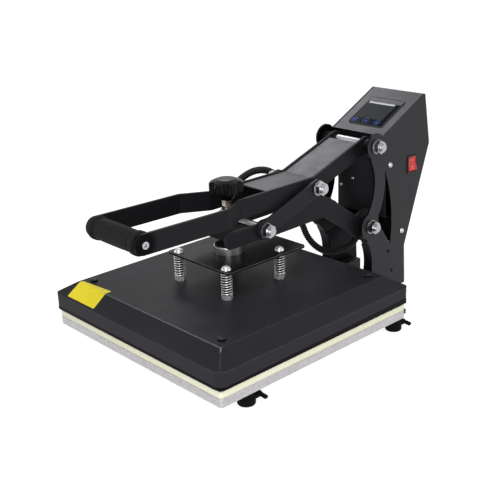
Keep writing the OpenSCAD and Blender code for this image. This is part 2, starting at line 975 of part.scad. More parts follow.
// triangles of a tube's wall between rings of s points, first point at f
function wall_faces(rings, s, f = 0) = [
    for (i = [0 : rings - 2], k = [0 : s - 1], half = [0, 1])
        let (a = f + i * s + k, b = f + i * s + (k + 1) % s)
        half == 0 ? [a, b, a + s] : [b, b + s, a + s]
];
function cap_faces(s, f, turned) = [
    for (k = [1 : s - 2]) turned ? [f, f + k + 1, f + k] : [f, f + k, f + k + 1]
];
function flipped(faces) = [for (t = faces) [t[0], t[2], t[1]]];

module spring(x, y) {
    n = len(wire_line);
    points = [for (i = [0 : n - 1]) each wire_ring(i)];
    faces = concat(
        wall_faces(n, wire_sides),
        cap_faces(wire_sides, 0, true),
        cap_faces(wire_sides, (n - 1) * wire_sides, false)
    );
    color(chrome) placed() translate([x * bolt_pitch / 2, y * bolt_pitch / 2, 0])
        polyhedron(points, faces);
}

module spring_front_right() {
    spring(1, -1);
}

module spring_front_left() {
    spring(-1, -1);
}

module spring_rear_right() {
    spring(1, 1);
}

module spring_rear_left() {
    spring(-1, 1);
}

// pressure screw and knob

knob_z = hang_top + knob_rise;
lock_nut_h = 10;
neck_h = 11;
screw_end = hang_top + 0.3;
screw_top = knob_z;

// the thread is drawn as a row of ring grooves
module pressure_screw() {
    r = screw_d / 2;
    turns = floor((screw_top - screw_end) / screw_pitch) - 1;
    tooth = [
        for (i = [0 : turns - 1], k = [0 : 1])
            [r - k * thread_depth, screw_end + 1 + (i + k / 2) * screw_pitch]
    ];
    color(chrome) placed()
        rotate_extrude() polygon(concat(
            [[0, screw_end], [r - thread_depth, screw_end]], tooth,
            [[r - thread_depth, screw_top], [0, screw_top]]
        ));
}

module pressure_knob() {
    lobe_r = 8;
    first_lobe = 47.5;
    lobe_at = knob_d / 2 - lobe_r;
    edge = 3;
    crown = 4;
    low = knob_z - knob_h / 2;
    top = low + knob_h + crown;
    r = knob_d / 2;
    color(black_plastic) placed() difference() {
        union() {
            intersection() {
                translate([0, 0, low]) linear_extrude(knob_h + crown) {
                    circle(r = lobe_at + 2);
                    for (i = [0 : knob_lobes - 1])
                        rotate(i * 360 / knob_lobes + first_lobe) translate([lobe_at, 0]) circle(r = lobe_r);
                }
                rotate_extrude() polygon([
                    [0, low], [r - edge, low], [r + 0.1, low + edge], [r + 0.1, top - crown - edge],
                    [r - edge, top - crown], [r * 0.55, top - 0.6], [r * 0.3, top], [0, top],
                ]);
            }
            translate([0, 0, low - neck_h]) cylinder(d1 = screw_d + 12, d2 = knob_d * 0.62, h = neck_h + 1);
        }
        translate([0, 0, low - neck_h - 1])
            cylinder(d = screw_d + 2 * run_fit, h = screw_top - low + neck_h + 1 + seat_gap);
    }
}

module lock_nut() {
    under = knob_z - knob_h / 2 - neck_h;
    color(brass) placed() difference() {
        translate([0, 0, under - lock_nut_h])
            cylinder(d = lock_nut_af / cos(30), h = lock_nut_h, $fn = 6);
        translate([0, 0, under - lock_nut_h - 3]) cylinder(d = screw_d + 2 * run_fit, h = lock_nut_h + 4);
    }
}

// heating platen

module corner_spots() {
    screw_side = cover_hw - slope_run - cover_screw_in;
    screw_depth = cover_hd - slope_run - cover_screw_in;
    for (x = [-1, 1], y = [-1, 1])
        translate([x * screw_side, y * screw_depth, 0]) children();
}

boss_d = 14;
cover_under = cover_z - cover_t;

// plate with the pillars that carry its cover
module heating_plate() {
    color(steel) placed() difference() {
        union() {
            block(plate_w - 2 * heat_inset, plate_d - 2 * heat_inset, 6, heat_z, heat_z + heat_t);
            corner_spots() translate([0, 0, heat_z]) cylinder(d = boss_d, h = cover_under - heat_z);
            bolt_spots() translate([0, 0, heat_z]) cylinder(d = boss_d, h = cover_under - heat_z);
        }
        corner_spots() translate([0, 0, cover_under - 14]) cylinder(d = cover_screw_d + bolt_fit, h = 20);
        bolt_spots() translate([0, 0, heat_z + heat_t]) cylinder(d = bolt_d + bolt_fit, h = cover_under);
    }
}

// a flat-topped pyramid with straight sloped sides
module hipped(w0, d0, w1, d1, z0, z1) {
    intersection() {
        translate([0, d0, 0]) rotate([90, 0, 0]) linear_extrude(2 * d0)
            polygon([[-w0, z0], [w0, z0], [w1, z1], [-w1, z1]]);
        across(-w0, w0) polygon([[-d0, z0], [d0, z0], [d1, z1], [-d1, z1]]);
    }
}

module platen_cover() {
    w = cover_hw;
    d = cover_hd;
    w1 = w - slope_run;
    d1 = d - slope_run;
    color(black_paint) placed() difference() {
        union() {
            block(2 * w, 2 * d, cover_r, rim_z, crease_z);
            intersection() {
                hipped(w, d, w1, d1, crease_z, cover_z);
                block(2 * w, 2 * d, cover_r, crease_z, cover_z);
            }
        }
        block(2 * (w - cover_t), 2 * (d - cover_t), cover_r - cover_t, rim_z - 1, crease_z);
        intersection() {
            hipped(w - slope_side, d - slope_side, w1 + slope_top, d1 + slope_top, crease_z, cover_under);
            block(2 * (w - cover_t), 2 * (d - cover_t), cover_r - cover_t, crease_z - 1, cover_z);
        }
        corner_spots() translate([0, 0, cover_under - 1])
            cylinder(d = cover_screw_d + bolt_fit, h = cover_t + 2);
        bolt_spots() translate([0, 0, cover_under - 1]) cylinder(d = bolt_d + bolt_fit, h = cover_t + 2);
        translate([platen_gland_at.x, platen_gland_at.y, cover_under - 1])
            cylinder(d = gland_d - 6, h = cover_t + 2);
    }
}

module cover_screws() {
    color(black_plastic) placed() corner_spots() translate([0, 0, cover_z]) {
        dome_head(11, 3.6);
        translate([0, 0, -cover_t - 12]) cylinder(d = cover_screw_d, h = cover_t + 13);
    }
}

// bolts that carry the platen: the head above the hanger, a nut on the cover
module spring_bolts() {
    color(chrome) placed() bolt_spots() {
        translate([0, 0, hang_top + seat_gap]) dome_head(bolt_head_d, head_h);
        translate([0, 0, cover_under - bolt_grip])
            cylinder(d = bolt_d, h = hang_top + seat_gap - cover_under + bolt_grip + 1);
        translate([0, 0, cover_z]) cylinder(d = bolt_nut_af / cos(30), h = bolt_nut_h, $fn = 6);
    }
}

module platen_gland() {
    placed() translate([platen_gland_at.x, platen_gland_at.y, cover_z]) gland(conduit_d - 4);
}

// heater conduit

// a smooth curve through the route's points
function spline(p, u) =
    let (
        n = len(p) - 1,
        i = min(floor(u), n - 1),
        t = u - i,
        a = p[max(i - 1, 0)], b = p[i], c = p[i + 1], d = p[min(i + 2, n)]
    )
    0.5 * (2 * b + (c - a) * t + (2 * a - 5 * b + 4 * c - d) * t * t + (3 * b - a - 3 * c + d) * t * t * t);

function spline_dir(p, u) =
    let (h = 0.02, n = len(p) - 1) unit(spline(p, min(u + h, n)) - spline(p, max(u - h, 0)));

// the curve's place after a run s along it
legs = len(conduit_route) - 1;
marks = 16;
route_line = [for (i = [0 : marks * legs]) spline(conduit_route, i / marks)];
route_run = [
    for (i = 0, s = 0; i <= marks * legs;
        s = s + norm(route_line[min(i + 1, marks * legs)] - route_line[i]), i = i + 1)
        [s, i / marks]
];
conduit_run = route_run[marks * legs][0];
echo(conduit_length = conduit_run);

hose_sides = 8;

function hose_ring(s, r) =
    let (
        u = lookup(s, route_run),
        c = spline(conduit_route, u),
        t = spline_dir(conduit_route, u),
        b = unit(cross(t, [1, 0, 0])),
        n = cross(b, t)
    )
    [for (k = [0 : hose_sides - 1])
        let (a = 360 * k / hose_sides) c + r * (cos(a) * n + sin(a) * b)];

// ribbed outside and a smooth bore, closed by a ring at each end
module heater_conduit() {
    r = conduit_d / 2;
    rib = 1.1;
    bore = r - 2.5;
    outer = 2 * conduit_ribs + 1;
    inner = 41;
    points = concat(
        [for (i = [0 : outer - 1]) each hose_ring(conduit_run * i / (outer - 1), i % 2 == 0 ? r - rib : r)],
        [for (i = [0 : inner - 1]) each hose_ring(conduit_run * i / (inner - 1), bore)]
    );
    first = outer * hose_sides;
    last = (outer - 1) * hose_sides;
    far = first + (inner - 1) * hose_sides;
    ends = [
        for (k = [0 : hose_sides - 1])
            let (m = (k + 1) % hose_sides)
            each [
                [k, first + k, m], [m, first + k, first + m],
                [last + k, last + m, far + k], [last + m, far + m, far + k],
            ]
    ];
    color(black_plastic) placed() polyhedron(points, concat(
        flipped(wall_faces(outer, hose_sides)),
        wall_faces(inner, hose_sides, first),
        flipped(ends)
    ));
}

lower_platen();
silicone_pad();
base_rail_right();
base_rail_left();
cross_bar_front();
cross_bar_rear();
foot_front_right();
foot_front_left();
foot_rear_right();
foot_rear_left();
frame_side_right();
frame_side_left();
control_cover();
box_front_panel();
display_bezel();
display_glass();
switch_rim();
switch_rocker();
side_screws();
top_pivot_bolt();
top_spacers();
top_sleeve();
low_pivot_bolt();
low_spacers();
low_sleeve();
box_gland();
mains_gland();
lever_side_right();
lever_side_left();
lever_top_plate();
grip_tube();
foam_grip();
grip_bolts();
mid_pivot_bolts();
toggle_link_right();
toggle_link_left();
front_pivot_bolts();
arm_side_right();
arm_side_left();
yoke_block();
arm_front_shaft();
hanger_plate();
thrust_collar();
spring_front_right();
spring_front_left();
spring_rear_right();
spring_rear_left();
pressure_screw();
pressure_knob();
lock_nut();
heating_plate();
platen_cover();
cover_screws();
spring_bolts();
platen_gland();
heater_conduit();
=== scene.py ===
import json
import math

import bmesh
import bpy
from mathutils import Matrix, Vector


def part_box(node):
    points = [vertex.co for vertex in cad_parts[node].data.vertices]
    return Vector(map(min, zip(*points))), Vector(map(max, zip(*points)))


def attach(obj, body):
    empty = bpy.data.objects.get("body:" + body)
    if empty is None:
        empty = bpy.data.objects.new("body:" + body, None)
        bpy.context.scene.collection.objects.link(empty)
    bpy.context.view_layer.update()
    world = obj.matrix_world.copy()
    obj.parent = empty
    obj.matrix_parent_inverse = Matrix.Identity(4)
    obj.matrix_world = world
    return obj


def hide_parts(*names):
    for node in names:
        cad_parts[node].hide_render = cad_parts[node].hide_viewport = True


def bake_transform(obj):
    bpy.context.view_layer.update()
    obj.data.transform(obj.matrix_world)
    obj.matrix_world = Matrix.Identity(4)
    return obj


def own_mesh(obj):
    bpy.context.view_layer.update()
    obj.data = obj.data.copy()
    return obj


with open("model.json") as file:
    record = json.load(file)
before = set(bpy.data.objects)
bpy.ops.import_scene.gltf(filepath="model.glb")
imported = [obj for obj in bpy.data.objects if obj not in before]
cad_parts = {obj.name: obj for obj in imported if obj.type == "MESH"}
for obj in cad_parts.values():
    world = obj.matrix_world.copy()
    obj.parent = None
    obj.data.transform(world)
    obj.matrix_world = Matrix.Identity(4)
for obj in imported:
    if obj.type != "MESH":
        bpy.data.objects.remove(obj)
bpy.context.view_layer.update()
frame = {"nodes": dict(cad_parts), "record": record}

MM = 0.001
FULL_TURN = 2 * math.pi
SIDES = (("right", 1), ("left", -1))
# The part's source measures Y from the pressure screw; the row frame starts at the press's middle.
SCREW_TO_MIDDLE = 103.14606
# Springs: how far each stands from the screw both ways, the coil's diameter and the wire's.
SPRING_SIDE, SPRING_D, WIRE_D = 54.0, 17.0, 1.8


def spot(x, y, z):
    """A point in the row frame, in metres, from the millimetres of the part's source."""
    return Vector((x, y - SCREW_TO_MIDDLE, z)) * MM


# Camera

CAMERA_AIM = Vector((0.02152, -0.079616, 0.14630))
CAMERA_TURN = math.radians(47.51)
CAMERA_RISE = math.radians(20.56)
CAMERA_ROLL = math.radians(-1.95)
CAMERA_DISTANCE = 1.35967
CAMERA_LENS, CAMERA_SENSOR = 64.55, 36.0


def add_camera():
    """The camera at the photograph's viewing angle."""
    data = bpy.data.cameras.new("camera")
    data.lens = CAMERA_LENS
    data.sensor_fit = "HORIZONTAL"
    data.sensor_width = CAMERA_SENSOR
    data.clip_start = 0.05
    data.clip_end = 60.0
    camera = bpy.data.objects.new("camera", data)
    bpy.context.collection.objects.link(camera)
    flat = math.cos(CAMERA_RISE)
    back = Vector((math.sin(CAMERA_TURN) * flat, -math.cos(CAMERA_TURN) * flat, math.sin(CAMERA_RISE)))
    level = Vector((math.cos(CAMERA_TURN), math.sin(CAMERA_TURN), 0.0))
    upward = back.cross(level)
    right = level * math.cos(CAMERA_ROLL) + upward * math.sin(CAMERA_ROLL)
    up = upward * math.cos(CAMERA_ROLL) - level * math.sin(CAMERA_ROLL)
    place = Matrix((right, up, back)).transposed().to_4x4()
    place.translation = CAMERA_AIM + back * CAMERA_DISTANCE
    camera.matrix_world = place
    bpy.context.scene.camera = camera


# Finishes

NOISE_LOW, NOISE_HIGH = 0.3, 0.7
BAND_SOFT = 0.2 * MM
FLAT_ENOUGH = 0.995
BEVEL_SAMPLES = 6


class Finish:
    """A node material with a Principled shader, built up from Object coordinates."""

    def __init__(self, name, **sockets):
        self.material = bpy.data.materials.new(name)
        self.material.use_nodes = True
        self.nodes = self.material.node_tree.nodes
        self.links = self.material.node_tree.links
        self.shader = self.nodes["Principled BSDF"]
        for socket, value in sockets.items():
            self.shader.inputs[socket.replace("_", " ")].default_value = value
        self.place = self.nodes.new("ShaderNodeTexCoord").outputs["Object"]
        self.normal = None
        self.split = None

    def put(self, node, socket, value):
        """Links an output to a socket, or sets the socket's value."""
        if isinstance(value, bpy.types.NodeSocket):
            self.links.new(value, node.inputs[socket])
        else:
            node.inputs[socket].default_value = value

    def stretched(self, stretch):
        """Object coordinates, scaled along each axis."""
        node = self.nodes.new("ShaderNodeMapping")
        node.inputs["Scale"].default_value = stretch
        self.put(node, "Vector", self.place)
        return node.outputs["Vector"]

    def noise(self, scale, detail=2.0, rough=0.5, where=None):
        """Soft noise, most of which lies between NOISE_LOW and NOISE_HIGH."""
        node = self.nodes.new("ShaderNodeTexNoise")
        node.inputs["Scale"].default_value = scale
        node.inputs["Detail"].default_value = detail
        node.inputs["Roughness"].default_value = rough
        self.put(node, "Vector", where or self.place)
        return node.outputs["Fac"]

    def cells(self, scale):
        """How far a point lies from the middle of its cell."""
        node = self.nodes.new("ShaderNodeTexVoronoi")
        node.inputs["Scale"].default_value = scale
        self.put(node, "Vector", self.place)
        return node.outputs["Distance"]

    def ranged(self, value, low, high, to_low=0.0, to_high=1.0):
        """Maps a value from one range to another, clamped."""
        node = self.nodes.new("ShaderNodeMapRange")
        limits = {"From Min": low, "From Max": high, "To Min": to_low, "To Max": to_high}
        for socket, number in limits.items():
            node.inputs[socket].default_value = number
        self.put(node, "Value", value)
        return node.outputs["Result"]

    def spread(self, noise, to_low=0.0, to_high=1.0):
        """Stretches noise from its usual range over another."""
        return self.ranged(noise, NOISE_LOW, NOISE_HIGH, to_low, to_high)

    def combine(self, operation, a, b=0.0):
        """One or two values worked on by a Math operation."""
        node = self.nodes.new("ShaderNodeMath")
        node.operation = operation
        self.put(node, 0, a)
        self.put(node, 1, b)
        return node.outputs["Value"]

    def dot(self, a, b):
        """How alike two directions are, from -1 to 1."""
        node = self.nodes.new("ShaderNodeVectorMath")
        node.operation = "DOT_PRODUCT"
        self.put(node, 0, a)
        self.put(node, 1, b)
        return node.outputs["Value"]

    def blend(self, share, a, b):
        """A colour between two colours."""
        node = self.nodes.new("ShaderNodeMix")
        node.data_type = "RGBA"
        self.put(node, "Factor", share)
        for socket, colour in ((6, a), (7, b)):
            linked = isinstance(colour, bpy.types.NodeSocket)
            self.put(node, socket, colour if linked else (*colour, 1.0))
        return node.outputs[2]

    def surface(self, output):
        """One of the directions of the surface itself."""
        return self.nodes.new("ShaderNodeNewGeometry").outputs[output]

    def round_edges(self, radius, full=0.80):
        """Rounds the shading over the edges, and returns how near an edge a point is."""
        bevel = self.nodes.new("ShaderNodeBevel")
        bevel.samples = BEVEL_SAMPLES
        bevel.inputs["Radius"].default_value = radius * MM
        self.normal = bevel.outputs["Normal"]
        return self.ranged(self.dot(self.normal, self.surface("Normal")), FLAT_ENOUGH, full)

    def facing(self, direction):
        """How squarely a face looks along a direction, from -1 to 1."""
        return self.dot(self.surface("True Normal"), direction)

    def axis(self, letter):
        """One of the Object coordinates."""
        if self.split is None:
            self.split = self.nodes.new("ShaderNodeSeparateXYZ")
            self.links.new(self.place, self.split.inputs[0])
        return self.split.outputs[letter]

    def unsigned(self, value):
        """A value without its sign, for pieces that are alike on both sides."""
        return self.combine("ABSOLUTE", value)

    def rise(self, letter, start, end, to_low=0.0, to_high=1.0):
        """Goes from one value to another between two places on an axis, in the source's millimetres."""
        middle = SCREW_TO_MIDDLE if letter == "Y" else 0.0
        low, high = (start - middle) * MM, (end - middle) * MM
        return self.ranged(self.axis(letter), low, high, to_low, to_high)

    def between(self, value, low, high):
        """One where a value lies between two limits, and nought elsewhere."""
        above = self.ranged(value, low - BAND_SOFT, low + BAND_SOFT)
        below = self.ranged(value, high - BAND_SOFT, high + BAND_SOFT, 1.0, 0.0)
        return self.combine("MULTIPLY", above, below)

    def distance(self, across, along):
        """How far a point lies from an axis, from its two offsets."""
        squares = [self.combine("MULTIPLY", side, side) for side in (across, along)]
        return self.combine("SQRT", self.combine("ADD", *squares))

    def bump(self, height, depth, strength=1.0):
        """Adds fine relief to the shading, over what it has already."""
        node = self.nodes.new("ShaderNodeBump")
        node.inputs["Strength"].default_value = strength
        node.inputs["Distance"].default_value = depth
        self.put(node, "Height", height)
        if self.normal is not None:
            self.links.new(self.normal, node.inputs["Normal"])
        self.normal = node.outputs["Normal"]

    def done(self, colour, roughness, metallic=None):
        """Joins everything to the shader, and returns the material."""
        self.put(self.shader, "Base Color", colour)
        self.put(self.shader, "Roughness", roughness)
        if metallic is not None:
            self.put(self.shader, "Metallic", metallic)
        if self.normal is not None:
            self.links.new(self.normal, self.shader.inputs["Normal"])
        return self.material


PAINT_TINT, PLASTIC_TINT, COAT_TINT = 0.15, 0.05, 0.06
PAINT_SHEEN = (0.91, 0.90, 1.0, 1.0)
FORWARD = (0.0, -1.0, 0.0)


def grey(level, tint=0.0):
    """A grey with a touch of blue."""
    return (level, level, level * (1.0 + tint))


def shaded(colour, factor):
    """A colour made darker, or lighter up to white."""
    return tuple(min(1.0, c * factor) for c in colour)


# Paint: level of grey, roughness and specular level, then the width and the level of its lighter edges


def painted(name, level, rough, specular, edge=0.9, edge_level=0.08, full=0.80, peel=0.035):
    """Baked paint on sheet steel: orange peel, faint clouding, and edges drawn lighter, partly as wear and
    partly as a painted highlight.
    """
    f = Finish(name, Specular_IOR_Level=specular, Specular_Tint=PAINT_SHEEN)
    near_edge = f.round_edges(edge, full)
    cloud = f.spread(f.noise(9.0, 4.0, 0.6))
    body = f.blend(cloud, grey(level * 0.88, PAINT_TINT), grey(level * 1.12, PAINT_TINT))
    fleck = f.ranged(f.noise(1900.0, 1.0), 0.60, 0.75, 0.0, 0.35)
    body = f.blend(fleck, body, grey(level * 2.0, PAINT_TINT))
    # Lighter edges: part wear, part painted highlight along them
    rubbed = f.combine("MULTIPLY", near_edge, f.ranged(f.noise(130.0, 3.0), 0.35, 0.65, 0.35, 0.9))
    colour = f.blend(rubbed, body, grey(edge_level, PAINT_TINT))
    f.bump(f.noise(620.0, 2.0, 0.6), peel * MM)
    roughness = f.spread(f.noise(38.0, 5.0, 0.65), rough - 0.05, rough + 0.06)
    return f, near_edge, colour, roughness


def paint(name, level, rough, specular, edge=0.9, edge_level=0.08):
    """Baked paint that is alike all over a piece."""
    f, _, colour, roughness = painted(name, level, rough, specular, edge, edge_level)
    return f.done(colour, roughness)


CREASE_FROM_Y, CREASE_TO_Y = -162.0, -165.0
CREASE_FROM_Z, CREASE_TO_Z = 97.2, 98.5
SKIRT_BELOW_Z, SLOPE_ABOVE_Z = 81.5, 82.5


def cover_paint(name):
    """The platen cover's paint, with a painted highlight along its front crease and its skirt painted
    lighter, as if lit from the floor.
    """
    f, near_edge, colour, roughness = painted(name, 0.0185, 0.38, 0.045, 2.6, 0.065, full=0.955, peel=0.02)
    front = f.rise("Y", CREASE_FROM_Y, CREASE_TO_Y)
    top = f.rise("Z", CREASE_FROM_Z, CREASE_TO_Z)
    # Painted highlight along the front crease, where it would catch the lamps
    crease = f.combine("MULTIPLY", near_edge, f.combine("MULTIPLY", front, top))
    # Painted light: the skirt below the slope drawn lighter, as if lit from the floor
    skirt = f.rise("Z", SKIRT_BELOW_Z, SLOPE_ABOVE_Z, 0.24, 0.0)
    colour = f.blend(skirt, colour, grey(0.046, PAINT_TINT))
    return f.done(f.blend(crease, colour, grey(0.27, COAT_TINT)), roughness)


INSIDE_FROM_X, INSIDE_FULL_X = 56.8, 56.2


def frame_side_paint(name, specular):
    """A frame side's paint, painted dull black as shade on its inner face and folded edge, and made metallic
    there so it reflects nothing either.
    """
    f, _, colour, roughness = painted(name, 0.0175, 0.42, specular)
    # Painted shade on the inner face and the folded edge
    inside = f.ranged(f.unsigned(f.axis("X")), INSIDE_FROM_X * MM, INSIDE_FULL_X * MM, 0.0, 0.94)
    return f.done(f.blend(inside, colour, grey(0.004)), roughness, inside)


def box_cover_paint(name):
    """The control box's paint, painted dull black as shade on the inside of its back wall, which faces the
    front, and made metallic there so it reflects nothing either.
    """
    f, _, colour, roughness = painted(name, 0.027, 0.40, 0.46)
    # Painted shade on the inside of the back wall
    inside = f.ranged(f.facing(FORWARD), 0.70, 0.75, 0.0, 0.97)
    return f.done(f.blend(inside, colour, grey(0.003)), roughness, inside)


def inner_panel_paint(name):
    """The box's front panel, painted dull black as shade on the flanges that lie inside the frame, and made
    metallic there so they reflect nothing either.
    """
    f, _, colour, roughness = painted(name, 0.013, 0.46, 0.08, edge_level=0.05)
    # Painted shade on the flanges that face away from the front
    inside = f.ranged(f.facing(FORWARD), 0.60, 0.50, 0.0, 0.95)
    return f.done(f.blend(inside, colour, grey(0.003)), roughness, inside)


END_SHADE_TO, END_SHADE_FADE = 15.0, 24.0


def near_lever_paint(name):
    """The near lever side's paint, with painted shade round the bolt of the grip."""
    f, _, colour, roughness = painted(name, 0.0095, 0.40, 0.085, 0.8, 0.09)
    low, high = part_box("foam_grip")
    fore = f.combine("SUBTRACT", f.axis("Y"), (low.y + high.y) / 2)
    up = f.combine("SUBTRACT", f.axis("Z"), (low.z + high.z) / 2)
    # Painted shade round the grip's bolt, fading out a little further off
    grip_end_shade = f.ranged(f.distance(fore, up), END_SHADE_TO * MM, END_SHADE_FADE * MM, 0.8, 0.0)
    return f.done(f.blend(grip_end_shade, colour, grey(0.002)), roughness, grip_end_shade)


DARK_SIDE_TO_Z, PAINT_FROM_Z = 103.1, 103.6


def screw_button(name):
    """A screw's flat button head: painted on top, near black round its side."""
    f, _, colour, roughness = painted(name, 0.022, 0.36, 0.06, 0.8, 0.10)
    top = f.rise("Z", DARK_SIDE_TO_Z, PAINT_FROM_Z)
    return f.done(f.blend(top, grey(0.0015), colour), roughness)


# Metal, rubber, plastic, glass and film


def milled_aluminium(name):
    """Milled plate: fine lines along the cut faces, a dull sheen and small stains."""
    f = Finish(name, Metallic=0.85)
    near_edge = f.round_edges(0.8)
    lines = f.noise(1.0, 3.0, 0.7, f.stretched((6.0, 6.0, 1600.0)))
    stain = f.noise(24.0, 5.0, 0.6)
    grain = f.noise(1.0, 3.0, 0.75, f.stretched((210.0, 210.0, 420.0)))
    body = f.blend(f.spread(lines), (0.40, 0.395, 0.405), (0.52, 0.515, 0.525))
    body = f.blend(f.ranged(stain, 0.52, 0.75, 0.0, 0.35), body, (0.33, 0.33, 0.34))
    body = f.blend(f.ranged(grain, 0.56, 0.70, 0.0, 0.75), body, (0.22, 0.215, 0.22))
    body = f.blend(f.ranged(grain, 0.44, 0.30, 0.0, 0.6), body, (0.66, 0.65, 0.64))
    f.bump(lines, 0.03 * MM)
    return f.done(f.blend(near_edge, body, (0.62, 0.62, 0.63)), f.spread(stain, 0.42, 0.56))


def coated_aluminium(name):
    """The heating plate's dark non-stick coat, drawn darker still as painted shade, with a fine fleck."""
    f = Finish(name, Specular_IOR_Level=0.10)
    near_edge = f.round_edges(0.6)
    fleck = f.noise(1500.0, 2.0)
    # Partly the coat's own dark grey, partly painted shade
    body = f.blend(f.ranged(fleck, 0.45, 0.7), grey(0.007, COAT_TINT), grey(0.020, COAT_TINT))
    f.bump(fleck, 0.03 * MM)
    return f.done(f.blend(near_edge, body, grey(0.03)), f.spread(f.noise(60.0, 3.0), 0.42, 0.58))


def silicone_sponge(name):
    """Cream silicone sponge: fine pores, a skin with soft clouding and a little dust."""
    f = Finish(name, Specular_IOR_Level=0.28)
    pores = f.cells(1300.0)
    cloud = f.noise(22.0, 4.0, 0.6)
    body = f.blend(f.spread(cloud), (0.83, 0.815, 0.63), (0.88, 0.865, 0.70))
    body = f.blend(f.ranged(pores, 0.05, 0.22, 0.5, 0.0), body, (0.72, 0.70, 0.56))
    f.bump(pores, 0.12 * MM, 0.7)
    f.bump(f.noise(240.0, 3.0), 0.08 * MM)
    return f.done(body, f.spread(cloud, 0.72, 0.86))


def foam(name):
    """Black foam rubber: open fine cells under a rubbed skin."""
    f = Finish(name, Specular_IOR_Level=0.08)
    cells = f.cells(1150.0)
    lumps = f.noise(210.0, 3.0, 0.6)
    body = f.blend(f.ranged(cells, 0.08, 0.45), grey(0.004), grey(0.009, PLASTIC_TINT))
    body = f.blend(f.ranged(lumps, 0.5, 0.7, 0.0, 0.5), body, grey(0.015, PLASTIC_TINT))
    f.bump(cells, 0.22 * MM, 0.8)
    f.bump(lumps, 0.25 * MM, 0.7)
    return f.done(body, f.spread(lumps, 0.62, 0.80))


def rubber(name):
    """Moulded black rubber with a dull bloom."""
    f = Finish(name, Specular_IOR_Level=0.05)
    near_edge = f.round_edges(0.8)
    bloom = f.noise(90.0, 4.0, 0.6)
    body = f.blend(f.ranged(bloom, 0.35, 0.7), grey(0.003), grey(0.007))
    f.bump(f.noise(900.0, 2.0), 0.05 * MM)
    return f.done(f.blend(near_edge, body, grey(0.016)), f.spread(bloom, 0.62, 0.78))


def moulded_plastic(name, level, rough, grain, specular):
    """Black moulded plastic with a spark-eroded grain."""
    f = Finish(name, Specular_IOR_Level=specular)
    near_edge = f.round_edges(0.5)
    fine = f.noise(1400.0, 2.0)
    cloud = f.ranged(f.noise(45.0, 4.0), 0.35, 0.65)
    body = f.blend(cloud, grey(level * 0.8, PLASTIC_TINT), grey(level * 1.25, PLASTIC_TINT))
    f.bump(fine, grain * MM)
    colour = f.blend(near_edge, body, grey(level * 2.2, PLASTIC_TINT))
    return f.done(colour, f.spread(fine, rough - 0.06, rough + 0.06))


def ribbed_plastic(name):
    """Black polyamide hose, dusty on the crests of its ribs, and painted black as shade in the hollows
    between them.
    """
    f = Finish(name, Specular_IOR_Level=0.12)
    rib = f.nodes.new("ShaderNodeAttribute")
    rib.attribute_name = "rib"
    dust = f.noise(700.0, 2.0)
    dusty = f.blend(f.spread(dust), grey(0.020, PLASTIC_TINT), grey(0.045, PLASTIC_TINT))
    # Painted shade: the hollows between the ribs drawn black
    body = f.blend(f.ranged(rib.outputs["Fac"], 0.4, 0.95), grey(0.0015), dusty)
    f.bump(f.noise(1400.0, 2.0), 0.02 * MM)
    return f.done(body, f.spread(dust, 0.34, 0.46))


def gloss_red(name):
    """The rocker's red plastic, clear enough to glow a little deeper in places."""
    f = Finish(name, Specular_IOR_Level=0.35)
    near_edge = f.round_edges(0.5)
    deep = f.noise(160.0, 3.0)
    body = f.blend(f.spread(deep), (0.46, 0.020, 0.017), (0.57, 0.030, 0.025))
    f.bump(f.noise(1200.0, 1.0), 0.01 * MM)
    return f.done(f.blend(near_edge, body, (0.76, 0.10, 0.08)), f.spread(deep, 0.24, 0.34))


def dark_glass(name):
    """The display's front pane: near-black, smooth, with faint finger smears."""
    f = Finish(name, Specular_IOR_Level=0.015)
    smear = f.noise(55.0, 4.0, 0.6, f.stretched((1.0, 0.35, 1.0)))
    body = f.blend(f.ranged(smear, 0.35, 0.7), (0.004, 0.005, 0.009), (0.007, 0.009, 0.015))
    return f.done(body, f.ranged(smear, 0.35, 0.75, 0.05, 0.12))


def plated(name, colour, rough, brushed=0.0, metal=1.0, black=None):
    """Bright plated or turned metal with fine scratches, and a near-black stretch if one is given."""
    f = Finish(name, Metallic=metal)
    near_edge = f.round_edges(0.4)
    scratch = f.noise(1.0, 4.0, 0.7, f.stretched((260.0, 900.0, 260.0)))
    dull = f.noise(70.0, 4.0, 0.6)
    body = f.blend(f.ranged(dull, 0.45, 0.75, 0.0, 0.8), colour, shaded(colour, 0.72))
    body = f.blend(near_edge, body, shaded(colour, 1.15))
    roughness = f.spread(dull, rough * 0.7, rough * 1.35)
    if black:
        letter, start, end = black
        band = f.between(f.unsigned(f.axis(letter)), start * MM, end * MM)
        body = f.blend(band, body, grey(0.010))
        roughness = f.combine("MAXIMUM", roughness, f.combine("MULTIPLY", band, 0.42))
    f.bump(scratch, (0.002 + brushed) * MM)
    return f.done(body, roughness)


SHADE_FADE_FROM, SHADE_FADE_TO = 0.1, 0.5


def spring_wire(name):
    """Bright wire, painted dark as shade on the inner side of the coil."""
    f = Finish(name, Metallic=0.8)
    from_screw = f.combine("ADD", f.axis("Y"), SCREW_TO_MIDDLE * MM)
    across = f.combine("SUBTRACT", f.unsigned(f.axis("X")), SPRING_SIDE * MM)
    fore = f.combine("SUBTRACT", f.unsigned(from_screw), SPRING_SIDE * MM)
    middle = (SPRING_D - WIRE_D) / 2
    # Painted shade: the half of the wire that faces the coil's axis is drawn near black
    clear_of_coil_shade = f.ranged(f.distance(across, fore), (middle + SHADE_FADE_FROM) * MM, (middle + SHADE_FADE_TO) * MM)
    dull = f.noise(150.0, 3.0, 0.6)
    wire_metal = f.blend(f.ranged(dull, 0.35, 0.7), (0.66, 0.665, 0.68), (0.46, 0.465, 0.48))
    f.bump(f.noise(900.0, 2.0), 0.01 * MM)
    return f.done(f.blend(clear_of_coil_shade, grey(0.012), wire_metal), f.spread(dull, 0.22, 0.34))


